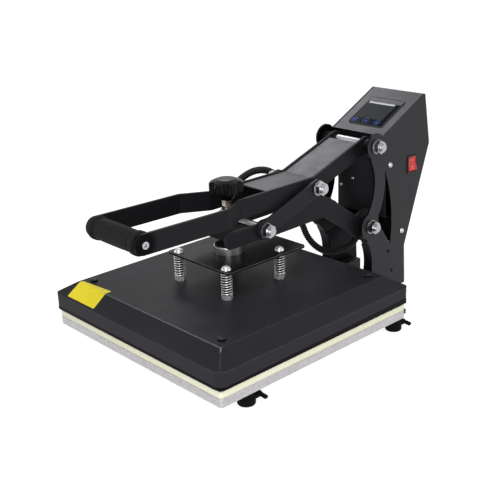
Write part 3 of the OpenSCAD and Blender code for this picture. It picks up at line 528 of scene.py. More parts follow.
def sticker_film(name):
    """Plain yellow vinyl film with a paper-fine grain."""
    f = Finish(name, Specular_IOR_Level=0.2, Coat_Weight=0.05, Coat_Roughness=0.25)
    cloud = f.noise(60.0, 4.0, 0.6)
    body = f.blend(f.spread(cloud), (0.67, 0.545, 0.010), (0.73, 0.615, 0.016))
    f.bump(f.noise(520.0, 2.0), 0.02 * MM)
    return f.done(body, f.spread(cloud, 0.42, 0.55))


def lit_mark(name, colour, glow, specular=0.25):
    """A lit or printed mark, with a faint grain."""
    f = Finish(name, Specular_IOR_Level=specular, Emission_Strength=glow)
    grain = f.noise(1500.0, 1.0)
    body = f.blend(f.ranged(grain, 0.35, 0.65), shaded(colour, 0.8), colour)
    f.put(f.shader, "Emission Color", body)
    return f.done(body, f.spread(grain, 0.35, 0.5))


BRIGHT_ZINC = (0.43, 0.435, 0.45)
# Near-black stretches: the axis along which they lie, and where they start and end from its middle.
BLACK_RIVETS = ("Z", 0.0, 85.0)
BLACK_IN_FRAME = ("X", 56.5, 59.0)
BLACK_IN_ARM = ("X", 45.3, 47.6)
# The spring bolts' shanks are drawn near black along the stretch inside the coils
BLACK_IN_SPRING = ("Z", 107.4, 142.4)
# The black paints are one paint drawn lighter or darker piece by piece as painted light and shade: lighter
# on the lever's top, the panel and the box cover, darker on the levers, links, arms, yoke, hanger and folds
SLOT_FINISHES = {
    "frame_paint": paint("satin_black_frame", 0.0175, 0.42, 0.17),
    "cover_paint": cover_paint("satin_black_platen_cover"),
    "lever_paint": paint("satin_black_lever", 0.0115, 0.40, 0.10, 0.8, 0.09),
    "plate_alu": milled_aluminium("milled_plate"),
    "heater_alu": coated_aluminium("coated_heating_plate"),
    "pad_silicone": silicone_sponge("cream_silicone_sponge"),
    "foot_rubber": rubber("moulded_foot_rubber"),
    "grip_foam": foam("black_grip_foam"),
    "black_plastic": moulded_plastic("grained_black_plastic", 0.014, 0.48, 0.04, 0.25),
    "knob_plastic": moulded_plastic("gloss_knob_plastic", 0.004, 0.22, 0.012, 0.09),
    "rocker_red": gloss_red("gloss_red_rocker"),
    "display_glass": dark_glass("dark_display_pane"),
    "chrome": plated("bright_zinc", BRIGHT_ZINC, 0.20),
    "steel": plated("turned_steel", (0.50, 0.51, 0.53), 0.34, brushed=0.01),
    "brass": plated("pale_yellow_zinc", (0.52, 0.47, 0.38), 0.28),
}
PANEL_PAINT = paint("lit_black_panel", 0.027, 0.40, 0.46)
ARM_PAINT = paint("shaded_black_arm", 0.009, 0.44, 0.10, 0.9, 0.06)
LINK_PAINT = paint("satin_black_link", 0.012, 0.42, 0.11, 0.8, 0.09)
BLACKENED = paint("blackened_spacer", 0.006, 0.34, 0.20, 0.5, 0.03)
FRAME_BOLT = plated("zinc_bolt_through_frame", BRIGHT_ZINC, 0.18, black=BLACK_IN_FRAME)
ARM_BOLT = plated("zinc_bolt_through_arm", BRIGHT_ZINC, 0.18, black=BLACK_IN_ARM)
NODE_FINISHES = {
    "control_cover": box_cover_paint("lit_black_box_cover_shaded_inside"),
    "box_front_panel": inner_panel_paint("shaded_black_inner_panel"),
    "frame_side_right": frame_side_paint("satin_black_right_side", 0.17),
    "frame_side_left": frame_side_paint("satin_black_left_side", 0.08),
    "lever_top_plate": paint("lit_black_lever_top", 0.031, 0.42, 0.46, 0.8, 0.14),
    "lever_side_right": near_lever_paint("satin_black_near_lever"),
    "lever_side_left": paint("shaded_black_far_lever", 0.007, 0.44, 0.06, 0.8, 0.06),
    "toggle_link_right": LINK_PAINT,
    "toggle_link_left": LINK_PAINT,
    "arm_side_right": ARM_PAINT,
    "arm_side_left": ARM_PAINT,
    "yoke_block": paint("shaded_black_yoke", 0.005, 0.44, 0.08, 0.9, 0.05),
    # The hanger's edges are drawn far lighter than its face as a painted highlight
    "hanger_plate": paint("gloss_black_hanger", 0.004, 0.32, 0.07, 1.2, 0.30),
    "thrust_collar": plated("polished_collar", (0.34, 0.345, 0.355), 0.26, metal=0.92),
    "side_screws": plated("zinc_screw_dark_rivet", BRIGHT_ZINC, 0.2, black=BLACK_RIVETS),
    "top_spacers": BLACKENED,
    "low_spacers": BLACKENED,
    "top_pivot_bolt": FRAME_BOLT,
    "low_pivot_bolt": FRAME_BOLT,
    "front_pivot_bolts": ARM_BOLT,
    "mid_pivot_bolts": ARM_BOLT,
    "spring_bolts": plated("zinc_spring_bolt", (0.56, 0.565, 0.58), 0.16, metal=0.68, black=BLACK_IN_SPRING),
}
SCREW_BUTTON = screw_button("cover_screw_paint")
SPRING_WIRE = spring_wire("bright_spring_wire")
EDGE_STRIP = moulded_plastic("black_edge_strip", 0.003, 0.42, 0.01, 0.05)
# The folds are drawn darker than the frame as painted shade
LEG_FOLD_PAINT = paint("shaded_black_fold", 0.005, 0.46, 0.06, 0.5, 0.03)
CONDUIT_PLASTIC = ribbed_plastic("conduit_polyamide")
STICKER_FILM = sticker_film("yellow_sticker_film")
ICON_BLUE = lit_mark("blue_touch_mark", (0.045, 0.11, 0.40), 0.07, 0.1)
SCREEN_GREY = lit_mark("unlit_screen", (0.020, 0.022, 0.025), 0.0, 0.04)
# A painted highlight: a faintly glowing pale strip for light caught on the window's upper edge
WINDOW_HIGHLIGHT = lit_mark("painted_window_highlight", (0.50, 0.53, 0.57), 0.06)
SWITCH_WHITE = lit_mark("white_switch_mark", (0.62, 0.34, 0.31), 0.0)


def dress_solids():
    """Every CAD node gets its own finish, or that of its material slot."""
    slot_of = {row["node"]: row["material_slot"] for row in frame["record"]["subparts"]}
    for name, solid in frame["nodes"].items():
        solid.data.materials.clear()
        solid.data.materials.append(NODE_FINISHES.get(name) or SLOT_FINISHES[slot_of[name]])


# Making pieces

MERGE = 0.002 * MM


def piece(name, mesh, finish, body=None, smooth=None):
    """A finished object from a bmesh, at the origin, riding on a body."""
    data = bpy.data.meshes.new(name)
    mesh.to_mesh(data)
    mesh.free()
    data.materials.append(finish)
    if smooth is not None:
        data.shade_smooth()
        data.set_sharp_from_angle(angle=math.radians(smooth))
    made = bpy.data.objects.new(name, data)
    bpy.context.collection.objects.link(made)
    if body:
        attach(made, body)
    return made


def only(geom, *kinds):
    """The members of a mixed list that are of the kinds named."""
    return [g for g in geom if isinstance(g, kinds)]


def edges_of(verts):
    """The edges at a group of vertices, each once."""
    return list(dict.fromkeys(e for v in verts for e in v.link_edges))


def uprights(edges, height):
    """The edges that stand up in a block of a given height."""
    return [e for e in edges if abs(e.verts[0].co.z - e.verts[1].co.z) > height / 2]


def close_up(mesh):
    """Merges doubled vertices, fills open rims and turns the faces outwards."""
    bmesh.ops.remove_doubles(mesh, verts=mesh.verts[:], dist=MERGE)
    bmesh.ops.holes_fill(mesh, edges=[e for e in mesh.edges if e.is_boundary], sides=0)
    bmesh.ops.recalc_face_normals(mesh, faces=mesh.faces[:])


def block(mesh, size, middle):
    """A rectangular block; returns its vertices."""
    verts = bmesh.ops.create_cube(mesh, size=1.0)["verts"]
    bmesh.ops.scale(mesh, vec=size, verts=verts)
    bmesh.ops.translate(mesh, vec=middle, verts=verts)
    return verts


def round_off(mesh, edges, radius, segments):
    """Rounds edges to a radius in millimetres."""
    bmesh.ops.bevel(mesh, geom=edges, affect="EDGES", offset=radius * MM, segments=segments, profile=0.5,
                    material=-1)


def plate(mesh, x, y, wide, deep, z_low, z_high, corner):
    """A thin plate with rounded corners, in millimetres."""
    thick = (z_high - z_low) * MM
    made = block(mesh, (wide * MM, deep * MM, thick), Vector((x, y, (z_low + z_high) / 2)) * MM)
    round_off(mesh, uprights(edges_of(made), thick), corner, segments=5)


def corners(near, far, low, high):
    """The four corners of an upright rectangle, in order."""
    return ((near, low), (far, low), (far, high), (near, high))


def outline(mesh, points):
    """A closed outline of vertices and the edges between them."""
    row = [mesh.verts.new(p) for p in points]
    return row, [mesh.edges.new(pair) for pair in zip(row, row[1:] + row[:1])]


def ring(mesh, x, y, inner, outer, z_low, z_high, steps=28):
    """A flat ring, in millimetres."""
    section = corners(x + inner, x + outer, z_low, z_high)
    row, edges = outline(mesh, [Vector((side, y, z)) * MM for side, z in section])
    bmesh.ops.spin(mesh, geom=row + edges, cent=Vector((x, y, 0)) * MM, axis=(0, 0, 1), angle=FULL_TURN,
                   steps=steps, use_merge=True)


def spun(points, around, steps):
    """A solid of revolution: (radius, height) points in millimetres, spun about an axis.

    The axis is given as its start, its direction and a direction square to it.
    """
    start, direction, side = around
    mesh = bmesh.new()
    row = [mesh.verts.new(start + (side * r + direction * h) * MM) for r, h in points]
    edges = [mesh.edges.new(pair) for pair in zip(row, row[1:])]
    bmesh.ops.spin(mesh, geom=row + edges, cent=start, axis=direction, angle=FULL_TURN, steps=steps,
                   use_merge=True)
    close_up(mesh)
    return mesh


# Heater conduit

CONDUIT_D, CONDUIT_SIDES, CONDUIT_RIBS = 12.0, 18, 132
CONDUIT_START = (-80.0, 58.0, 114.7)
CONDUIT_END = (-28.0, 346.0, 119.0)
ARCH = [(0, 0, 14), (0, 0, 26), (0, 2, 48), (0, 8, 70), (0, 19, 89), (0, 34, 102), (0, 53, 110.5),
        (0, 74, 114), (0, 96, 111), (0, 116, 102), (1, 133, 88), (3, 146, 68), (7, 155, 45)]
LOOP = [(-38, -127, 16), (-30, -123, -5), (-24, -120, -21), (-16, -113, -36), (-9, -101, -48),
        (-4, -86, -55), (-1, -70, -58), (0, -46, -58), (0, -32, -56), (0, -19, -49), (0, -9, -39),
        (0, -2, -26), (0, 0, -12)]
ROUTE_STEPS = 14
RIB_DEEP, RIB_ROUND = 1.1, 0.35
# One rib: shares of its pitch, and how far under the crest the wall lies there.
RIB_WAVE = ((0.00, RIB_DEEP), (0.22, RIB_DEEP), (0.36, RIB_ROUND),
            (0.48, 0.0), (0.74, 0.0), (0.86, RIB_ROUND))


def offset(start, step):
    """A point of the route, from the end that it is measured from."""
    return spot(*(a + b for a, b in zip(start, step)))


def conduit_route():
    """Points along the conduit's middle: a smooth curve through the source's own points."""
    knots = [spot(*CONDUIT_START)] + [offset(CONDUIT_START, p) for p in ARCH]
    knots += [offset(CONDUIT_END, p) for p in LOOP] + [spot(*CONDUIT_END)]
    ends = [knots[0]] + knots + [knots[-1]]
    route = []
    for a, b, c, d in zip(ends, ends[1:], ends[2:], ends[3:]):
        for i in range(ROUTE_STEPS):
            t = i / ROUTE_STEPS
            route.append(0.5 * (2 * b + (c - a) * t + (2 * a - 5 * b + 4 * c - d) * t * t
                                + (3 * b - a - 3 * c + d) * t * t * t))
    return route + [knots[-1]]


def along(route, shares):
    """Points and directions at shares of a route's length."""
    lengths = [0.0]
    for a, b in zip(route, route[1:]):
        lengths.append(lengths[-1] + (b - a).length)
    i = 0
    for share in shares:
        want = share * lengths[-1]
        while i < len(route) - 2 and lengths[i + 1] < want:
            i += 1
        step = (want - lengths[i]) / (lengths[i + 1] - lengths[i])
        yield route[i].lerp(route[i + 1], step), (route[i + 1] - route[i]).normalized()


def add_conduit():
    """The heater's corrugated conduit: rings drawn on from one end to the other."""
    route = conduit_route()
    length = sum((b - a).length for a, b in zip(route, route[1:]))
    rings = [((rib + at) / CONDUIT_RIBS, deep) for rib in range(CONDUIT_RIBS) for at, deep in RIB_WAVE]
    rings.append((1.0, RIB_DEEP))
    mesh = bmesh.new()
    height = mesh.verts.layers.float.new("rib")
    verts = bmesh.ops.create_circle(mesh, cap_ends=False, radius=1.0, segments=CONDUIT_SIDES)["verts"]
    rim = edges_of(verts)
    before = Matrix.Identity(4)
    heading = Vector((0.0, 0.0, 1.0))
    turn = Matrix.Identity(3)
    for (centre, direction), (share, deep) in zip(along(route, [s for s, _ in rings]), rings):
        turn = heading.rotation_difference(direction).to_matrix() @ turn
        heading = direction
        radius = (CONDUIT_D / 2 - deep) * MM
        now = Matrix.Translation(centre) @ turn.to_4x4() @ Matrix.Scale(radius, 4)
        if share > 0.0:
            grown = bmesh.ops.extrude_edge_only(mesh, edges=rim)["geom"]
            verts = only(grown, bmesh.types.BMVert)
            rim = only(grown, bmesh.types.BMEdge)
        bmesh.ops.transform(mesh, matrix=now @ before.inverted(), verts=verts)
        for v in verts:
            v[height] = 1.0 - deep / RIB_DEEP
        before = now
    close_up(mesh)
    conduit = piece("heater_conduit_ribbed", mesh, CONDUIT_PLASTIC, smooth=50)
    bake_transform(conduit)
    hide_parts("heater_conduit")
    [tuple(p) for p in route]


# Springs

SPRING_PLACES = {"spring_front_right": (1, -1), "spring_front_left": (-1, -1),
                 "spring_rear_right": (1, 1), "spring_rear_left": (-1, 1)}
SPRING_LOW, SPRING_TOP = 107.2, 142.7
SPRING_TURNS, END_PITCH = 9.5, 2.3
WIRE_SIDES, STEPS_A_TURN = 12, 28


def add_springs():
    """Four coil springs with closed end turns, wound by spinning the wire's round."""
    height = SPRING_TOP - SPRING_LOW
    open_turns = SPRING_TURNS - 2
    open_pitch = (height - WIRE_D - 2 * END_PITCH) / open_turns
    for name, (side, end) in SPRING_PLACES.items():
        x, y = side * SPRING_SIDE, end * SPRING_SIDE
        middle = spot(x, y, SPRING_LOW)
        start = middle + Vector((SPRING_D - WIRE_D, 0, WIRE_D)) / 2 * MM
        mesh = bmesh.new()
        radius = WIRE_D / 2 * MM
        wire = bmesh.ops.create_circle(mesh, cap_ends=False, radius=radius, segments=WIRE_SIDES)["verts"]
        bmesh.ops.rotate(mesh, verts=wire, cent=Vector(), matrix=Matrix.Rotation(math.pi / 2, 3, "X"))
        bmesh.ops.translate(mesh, verts=wire, vec=start)
        live = wire + edges_of(wire)
        for turns, pitch in ((1.0, END_PITCH), (open_turns, open_pitch), (1.0, END_PITCH)):
            steps = round(STEPS_A_TURN * turns)
            rise = (0, 0, pitch * turns / steps * MM)
            live = bmesh.ops.spin(mesh, geom=live, cent=middle, axis=(0, 0, 1), dvec=rise,
                                  angle=FULL_TURN * turns, steps=steps)["geom_last"]
        close_up(mesh)
        spring = piece(name + "_coil", mesh, SPRING_WIRE, "hanger", smooth=50)
        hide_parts(name)
        spot(x, y, SPRING_TOP)
        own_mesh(spring)


# Foam grip and silicone pad

GRIP_RIM, GRIP_WAIST, GRIP_ROLL = 11.0, 1.8, 3.0
GRIP_BORE, GRIP_CHAMFER = 8.85, 1.2
GRIP_CROWN, BARREL_SHORT = 0.35, 6.0
# The inner end of each rim's roll, in shares of its radius: outwards, and along the grip.
GRIP_LIP = ((0.94, 0.34), (0.77, 0.64))
# The groove beside each rim: depth under the barrel, and distance from the rim.
GRIP_GROOVE = ((1.1, 0.2), (1.1, 0.9), (0.2, 1.8), (0.0, 3.2))


def add_grip():
    """The foam sleeve on the lever's cross tube: a soft barrel between two rolled rims, with a bore."""
    low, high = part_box("foam_grip")
    half = (high.x - low.x) / 2 / MM
    rim = (high.z - low.z) / 2 / MM - GRIP_ROLL
    waist = rim + GRIP_ROLL - GRIP_WAIST
    inner = half - GRIP_RIM
    end = [(GRIP_BORE, -half + GRIP_CHAMFER), (GRIP_BORE + GRIP_CHAMFER, -half)]
    for angle in map(math.radians, range(-90, 1, 15)):
        end.append((rim + GRIP_ROLL * math.cos(angle), GRIP_ROLL - half + GRIP_ROLL * math.sin(angle)))
    end += [(rim + GRIP_ROLL * out, -inner - GRIP_ROLL + GRIP_ROLL * up) for out, up in GRIP_LIP]
    end += [(waist - deep, -inner + away) for deep, away in GRIP_GROOVE]
    barrel = [(waist + GRIP_CROWN * math.cos(math.pi * t / 2), t * (inner - BARREL_SHORT))
              for t in (-0.9, -0.45, 0.0, 0.45, 0.9)]
    profile = end + barrel + [(r, -h) for r, h in reversed(end)]
    around = ((low + high) / 2, Vector((1, 0, 0)), Vector((0, 0, 1)))
    mesh = spun(profile + profile[:1], around, steps=72)
    grip = piece("foam_grip_sleeve", mesh, SLOT_FINISHES["grip_foam"], "handle", smooth=60)
    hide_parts("foam_grip")


PAD_CORNER, PAD_BORDER, PAD_BULGE = 4.0, 2.5, 1.3
# The share of the half width past which a vertex belongs to the edge.
PAD_EDGE = 0.98


def add_pad():
    """The silicone sponge pad: a cut sheet whose edges bulge a little under the platen's weight."""
    low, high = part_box("silicone_pad")
    size = high - low
    centre = (low + high) / 2
    mesh = bmesh.new()
    block(mesh, size, centre)
    round_off(mesh, uprights(mesh.edges, size.z), PAD_CORNER, segments=6)
    flats = [f for f in mesh.faces if abs(f.normal.z) > 0.9]
    bmesh.ops.inset_region(mesh, faces=flats, thickness=PAD_BORDER * MM, depth=0.0)
    bmesh.ops.subdivide_edges(mesh, edges=uprights(mesh.edges, size.z), cuts=4, use_grid_fill=True)
    for v in mesh.verts:
        rise = abs(v.co.z - centre.z) / (size.z / 2)
        side = max(abs(v.co.x - centre.x) / size.x, abs(v.co.y - centre.y) / size.y) * 2
        if side > PAD_EDGE:
            draw = 1.0 - PAD_BULGE * MM * rise ** 4 / (size.x / 2)
            v.co.x = centre.x + (v.co.x - centre.x) * draw
            v.co.y = centre.y + (v.co.y - centre.y) * draw
    bmesh.ops.recalc_face_normals(mesh, faces=mesh.faces[:])
    sponge = SLOT_FINISHES["pad_silicone"]
    pad = piece("silicone_pad_sheet", mesh, sponge, "frame", smooth=40)
    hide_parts("silicone_pad")


# Sticker

CREASE_Y, CREASE_Z = -166.0, 100.7
SKIRT_Y, SKIRT_Z = -194.0, 82.2
# Rows across the front slope: left and right X, and how far down from the crease they lie.
STICKER_SLOPE = ((-162.0, -91.5, 29.0), (-161.8, -92.5, 15.0), (-161.6, -93.5, 1.2))
STICKER_FOLD = (-161.55, -93.65)
# Rows on top: X and Y behind the crease, of the left and the right end.
STICKER_TOP = (((-161.5, 1.0), (-93.8, 1.6)), ((-161.4, 5.0), (-94.0, 11.3)))
STICKER_STAND, STICKER_FOLD_STAND = 0.15, 0.225
STICKER_THICK, STICKER_CORNER = 0.12, 2.5


def add_sticker():
    """A plain blank yellow sticker over the cover's front slope, folded onto its top."""
    crease = Vector((0, CREASE_Y, CREASE_Z))
    down = Vector((0, SKIRT_Y - CREASE_Y, SKIRT_Z - CREASE_Z)).normalized()
    out = Vector((0, down.z, -down.y))
    up = Vector((0, 0, 1))
    rows = []
    for left, right, run in STICKER_SLOPE:
        rows.append([crease + Vector((x, 0, 0)) + down * run + out * STICKER_STAND for x in (left, right)])
    over_fold = (out + up).normalized() * STICKER_FOLD_STAND
    rows.append([crease + Vector((x, 0, 0)) + over_fold for x in STICKER_FOLD])
    for ends in STICKER_TOP:
        rows.append([crease + Vector((x, y, STICKER_STAND)) for x, y in ends])
    mesh = bmesh.new()
    edges = [mesh.edges.new([mesh.verts.new(spot(*p)) for p in row]) for row in rows]
    for pair in zip(edges, edges[1:]):
        bmesh.ops.bridge_loops(mesh, edges=pair)
    bmesh.ops.recalc_face_normals(mesh, faces=mesh.faces[:])
    if sum(f.normal.z for f in mesh.faces) < 0:
        bmesh.ops.reverse_faces(mesh, faces=mesh.faces[:])
    tips = [v for v in mesh.verts if len(v.link_faces) == 1]
    bmesh.ops.bevel(mesh, geom=tips, affect="VERTICES", offset=STICKER_CORNER * MM, segments=4, profile=0.5,
                    material=-1)
    bmesh.ops.solidify(mesh, geom=mesh.faces[:], thickness=STICKER_THICK * MM)
    bmesh.ops.recalc_face_normals(mesh, faces=mesh.faces[:])
    piece("yellow_blank_sticker", mesh, STICKER_FILM, "platen", smooth=40)


# Display

PANEL_FRONT_Y, PANEL_FRONT_Z, PANEL_TILT = 296.5, 276.5, math.radians(26.5)
# In the panel's own axes: how far the pane stands out, its upper edge and half its width.
PANE_TOP, PANE_HIGH, PANE_HALF = 1.1, 91.0, 34.8
SCREEN_MIDDLE, SCREEN_WIDE, SCREEN_CORNER = -3.5, 59.0, 1.5
SCREEN_LOW, SCREEN_HIGH = 35.0, 76.0
EDGE_MIDDLE, EDGE_ROW = -3.8, 76.9
EDGE_WIDE, EDGE_DEEP, EDGE_CORNER = 55.0, 4.2, 0.8
BAND_LOW, BAND_CORNER = 79.4, 2.5
TOUCH_MARKS, TOUCH_ROW = (-27.4, -3.9, 20.9), 28.6
MARK_INNER, MARK_OUTER = 4.7, 5.5
DOT_WIDE, DOT_CORNER = 3.8, 0.7
BAR_LONG, BAR_WIDE, BAR_CORNER = 5.0, 1.3, 0.4
# How far each print stands on the pane, and the second bar of a cross on the first.
FILM_STAND, EDGE_STAND, MARK_STAND, CROSS_STAND = 0.06, 0.10, 0.08, 0.02


def panel_frame():
    """The display panel's own axes: X across, Y up the slope from the front edge, Z out of the panel."""
    up_slope = Vector((0, math.cos(PANEL_TILT), math.sin(PANEL_TILT)))
    out = Vector((0, -math.sin(PANEL_TILT), math.cos(PANEL_TILT)))
    place = Matrix((Vector((1, 0, 0)), up_slope, out)).transposed().to_4x4()
    place.translation = spot(0, PANEL_FRONT_Y, PANEL_FRONT_Z)
    return place


def on_panel(name, mesh, finish):
    """Closes a mesh drawn in the panel's axes and sets it on the control panel."""
    close_up(mesh)
    bmesh.ops.transform(mesh, matrix=panel_frame(), verts=mesh.verts[:])
    piece(name, mesh, finish, "frame")


def add_display():
    """The display's dark screen, a painted highlight along its upper edge, the grey band above it, and three
    lit touch marks.
    """
    low = PANE_TOP
    screen = bmesh.new()
    plate(screen, SCREEN_MIDDLE, (SCREEN_LOW + SCREEN_HIGH) / 2, SCREEN_WIDE, SCREEN_HIGH - SCREEN_LOW,
          low, low + FILM_STAND, SCREEN_CORNER)
    on_panel("display_screen", screen, SCREEN_GREY)
    # Painted highlight along the pane's upper edge
    edge = bmesh.new()
    plate(edge, EDGE_MIDDLE, EDGE_ROW, EDGE_WIDE, EDGE_DEEP, low, low + EDGE_STAND, EDGE_CORNER)
    on_panel("display_edge_highlight", edge, WINDOW_HIGHLIGHT)
    band = bmesh.new()
    plate(band, 0.0, (BAND_LOW + PANE_HIGH) / 2, 2 * PANE_HALF, PANE_HIGH - BAND_LOW,
          low, low + FILM_STAND, BAND_CORNER)
    on_panel("display_grey_band", band, PANEL_PAINT)
    marks = bmesh.new()
    high = low + MARK_STAND
    for x in TOUCH_MARKS:
        ring(marks, x, TOUCH_ROW, MARK_INNER, MARK_OUTER, low, high)
    dot, minus, plus = TOUCH_MARKS
    plate(marks, dot, TOUCH_ROW, DOT_WIDE, DOT_WIDE, low, high, DOT_CORNER)
    for x in (minus, plus):
        plate(marks, x, TOUCH_ROW, BAR_LONG, BAR_WIDE, low, high, BAR_CORNER)
    plate(marks, plus, TOUCH_ROW, BAR_WIDE, BAR_LONG, low, high + CROSS_STAND, BAR_CORNER)
    on_panel("display_touch_marks", marks, ICON_BLUE)


# Rocker marks

ROCKER_AXIS = (54.0, 372.0, 215.0)
ROCKER_TILT, ROCKER_CROWN = math.radians(8.0), 4.0
ROCKER_MARK = 6.4
LINE_LONG, LINE_WIDE, LINE_CORNER = 5.6, 1.1, 0.4
OFF_INNER, OFF_OUTER = 1.7, 2.7
PRINT_LOW, PRINT_HIGH = -0.1, 0.06


def rocker_face(lean, along_face):
    """The axes on one of the rocker's two faces: across it, up it and out of it."""
    up = Vector((math.sin(-lean), 0, math.cos(lean)))
    out = Vector((math.cos(lean), 0, math.sin(lean)))
    crest = Vector((math.cos(ROCKER_TILT), 0, math.sin(ROCKER_TILT))) * ROCKER_CROWN
    place = Matrix((Vector((0, 1, 0)), up, out)).transposed().to_4x4()
    place.translation = spot(*ROCKER_AXIS) + (crest + up * along_face) * MM
    return place


def add_switch_marks():
    """The rocker's plain line and ring, pressed into its two faces."""
    line = bmesh.new()
    plate(line, 0, 0, LINE_LONG, LINE_WIDE, PRINT_LOW, PRINT_HIGH, LINE_CORNER)
    bmesh.ops.transform(line, matrix=rocker_face(0.0, ROCKER_MARK), verts=line.verts[:])
    piece("rocker_on_line", line, SWITCH_WHITE, "rocker")
    circle = bmesh.new()
    ring(circle, 0, 0, OFF_INNER, OFF_OUTER, PRINT_LOW, PRINT_HIGH)
    close_up(circle)
    bmesh.ops.transform(circle, matrix=rocker_face(2 * ROCKER_TILT, -ROCKER_MARK), verts=circle.verts[:])
    piece("rocker_off_ring", circle, SWITCH_WHITE, "rocker")


# Cover screws and edge strip

# Radius of the domed heads that these flat ones replace.
SOLID_HEAD_R = 5.5
SCREW_HEAD = ((0.0, 3.4), (4.9, 3.4), (5.4, 3.25), (5.7, 2.8), (5.75, 0.6), (5.6, 0.0), (0.0, 0.0))


def add_cover_screws():
    """The four flat-headed screws that hold the platen's cover."""
    low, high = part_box("cover_screws")
    inset = SOLID_HEAD_R * MM
    first = Vector((high.x - inset, high.y - inset, CREASE_Z * MM))
    mesh = spun(SCREW_HEAD, (first, Vector((0, 0, 1)), Vector((1, 0, 0))), steps=32)
    across = low.x - high.x + 2 * inset
    deep = low.y - high.y + 2 * inset
    for step in (Vector((across, 0, 0)), Vector((0, deep, 0))):
        copy = bmesh.ops.duplicate(mesh, geom=mesh.verts[:] + mesh.edges[:] + mesh.faces[:])["geom"]
        bmesh.ops.translate(mesh, vec=step, verts=only(copy, bmesh.types.BMVert))
    heads = piece("cover_screw_heads", mesh, SCREW_BUTTON, "platen", smooth=35)
    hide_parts("cover_screws")


STRIP_IN, STRIP_OUT, STRIP_LOW = 193.5, 194.5, 57.6
STRIP_CORNER, STRIP_REAR = 182.0, 186.0
STRIP_FRONT_TOP, STRIP_REAR_TOP = 61.2, 65.6


def draw_strip(mesh, edges, step, top_step=0.0):
    """Draws the strip's section on along a straight run, and lifts or lowers its upper edge."""
    grown = bmesh.ops.extrude_edge_only(mesh, edges=edges)["geom"]
    verts = only(grown, bmesh.types.BMVert)
    middle = sum(v.co.z for v in verts) / len(verts)
    upper = [v for v in verts if v.co.z > middle]
    bmesh.ops.translate(mesh, vec=Vector(step) * MM, verts=verts)
    bmesh.ops.translate(mesh, vec=Vector((0, 0, top_step)) * MM, verts=upper)
    return only(grown, bmesh.types.BMVert, bmesh.types.BMEdge)


def turn_strip(mesh, section, x):
    """Turns the strip's section round one of the cover's front corners."""
    corner = spot(x, -STRIP_CORNER, 0)
    turned = bmesh.ops.spin(mesh, geom=section, cent=corner, axis=(0, 0, 1), angle=-FULL_TURN / 4, steps=8)
    return only(turned["geom_last"], bmesh.types.BMEdge)


def add_edge_strip():
    """The black strip under the cover's edge: along both sides, higher at the back, and round the front."""
    mesh = bmesh.new()
    section = corners(STRIP_IN, STRIP_OUT, STRIP_LOW, STRIP_REAR_TOP)
    _, edges = outline(mesh, [spot(x, STRIP_REAR, z) for x, z in section])
    side_run, fall = STRIP_REAR + STRIP_CORNER, STRIP_FRONT_TOP - STRIP_REAR_TOP
    edges = turn_strip(mesh, draw_strip(mesh, edges, (0, -side_run, 0), fall), STRIP_CORNER)
    edges = turn_strip(mesh, draw_strip(mesh, edges, (-2 * STRIP_CORNER, 0, 0)), -STRIP_CORNER)
    draw_strip(mesh, edges, (0, side_run, 0), -fall)
    close_up(mesh)
    piece("cover_edge_strip", mesh, EDGE_STRIP, "platen", smooth=40)


# Collar ring, leg folds, foot prongs and box screws

COLLAR_RIM, COLLAR_BORE = 1.9, 8.0
COLLAR_SINK, COLLAR_STAND = 0.1, 0.3


def add_collar_ring():
    """A black ring on the thrust collar's top, inside its bright rim, where its top looks dark."""
    low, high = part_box("thrust_collar")
    middle = (low + high) / 2 / MM
    outer = (high.x - low.x) / 2 / MM - COLLAR_RIM
    top = high.z / MM
    mesh = bmesh.new()
    ring(mesh, middle.x, middle.y, COLLAR_BORE, outer, top - COLLAR_SINK, top + COLLAR_STAND, steps=48)
    close_up(mesh)
    piece("collar_ring", mesh, SLOT_FINISHES["foot_rubber"], "hanger", smooth=40)


INSTEP_Y, INSTEP_Z, INSTEP_R = 190.5, 60.0, 80.0
FOLD_INNER, FOLD_OUTER, FOLD_THICK = 42.0, 53.2, 3.0
FOLD_FROM, FOLD_TO = math.radians(24.0), math.radians(42.0)


def add_leg_folds():
    """The upper ends of the folds on the legs' front edges, up to the lower pivots."""
    centre = spot(0, INSTEP_Y, INSTEP_Z)
    out = Vector((0, math.cos(FOLD_FROM), math.sin(FOLD_FROM)))
    section = corners(FOLD_INNER, FOLD_OUTER, INSTEP_R, INSTEP_R + FOLD_THICK)
    for side, sign in SIDES:
        mesh = bmesh.new()
        row, edges = outline(mesh, [centre + (Vector((sign * x, 0, 0)) + out * r) * MM for x, r in section])
        bmesh.ops.spin(mesh, geom=row + edges, cent=centre, axis=(1, 0, 0), angle=FOLD_TO - FOLD_FROM,
                       steps=8)
        close_up(mesh)
        piece("leg_fold_" + side, mesh, LEG_FOLD_PAINT, "frame", smooth=30)


HOOK_REACH, HOOK_WIDE, HOOK_DROP = 15.8, 6.4, 1.2
HOOK_LOW, HOOK_HIGH = 4.3, 8.8
HOOK_INSET, HOOK_ROUND = 0.6, 1.3


def add_foot_hook(end, side, sign):
    """The prong at the end of a foot's tab, turned outwards and a little down."""
    low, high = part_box("foot_%s_%s" % (end, side))
    size = Vector((HOOK_REACH, HOOK_WIDE, HOOK_HIGH - HOOK_LOW)) * MM
    middle = Vector(((low.x + high.x) / 2 + sign * size.x / 2, high.y - size.y / 2 - HOOK_INSET * MM,
                     (HOOK_LOW + HOOK_HIGH) / 2 * MM))
    mesh = bmesh.new()
    outer = [v for v in block(mesh, size, middle) if (v.co.x - middle.x) * sign > 0]
    bmesh.ops.translate(mesh, vec=Vector((0, 0, -HOOK_DROP)) * MM, verts=outer)
    round_off(mesh, mesh.edges[:], HOOK_ROUND, segments=4)
    name = "foot_hook_%s_%s" % (end, side)
    piece(name, mesh, SLOT_FINISHES["foot_rubber"], "frame", smooth=60)


def add_foot_hooks():
    """The prongs of all four feet."""
    for end in ("front", "rear"):
        for side, sign in SIDES:
            add_foot_hook(end, side, sign)


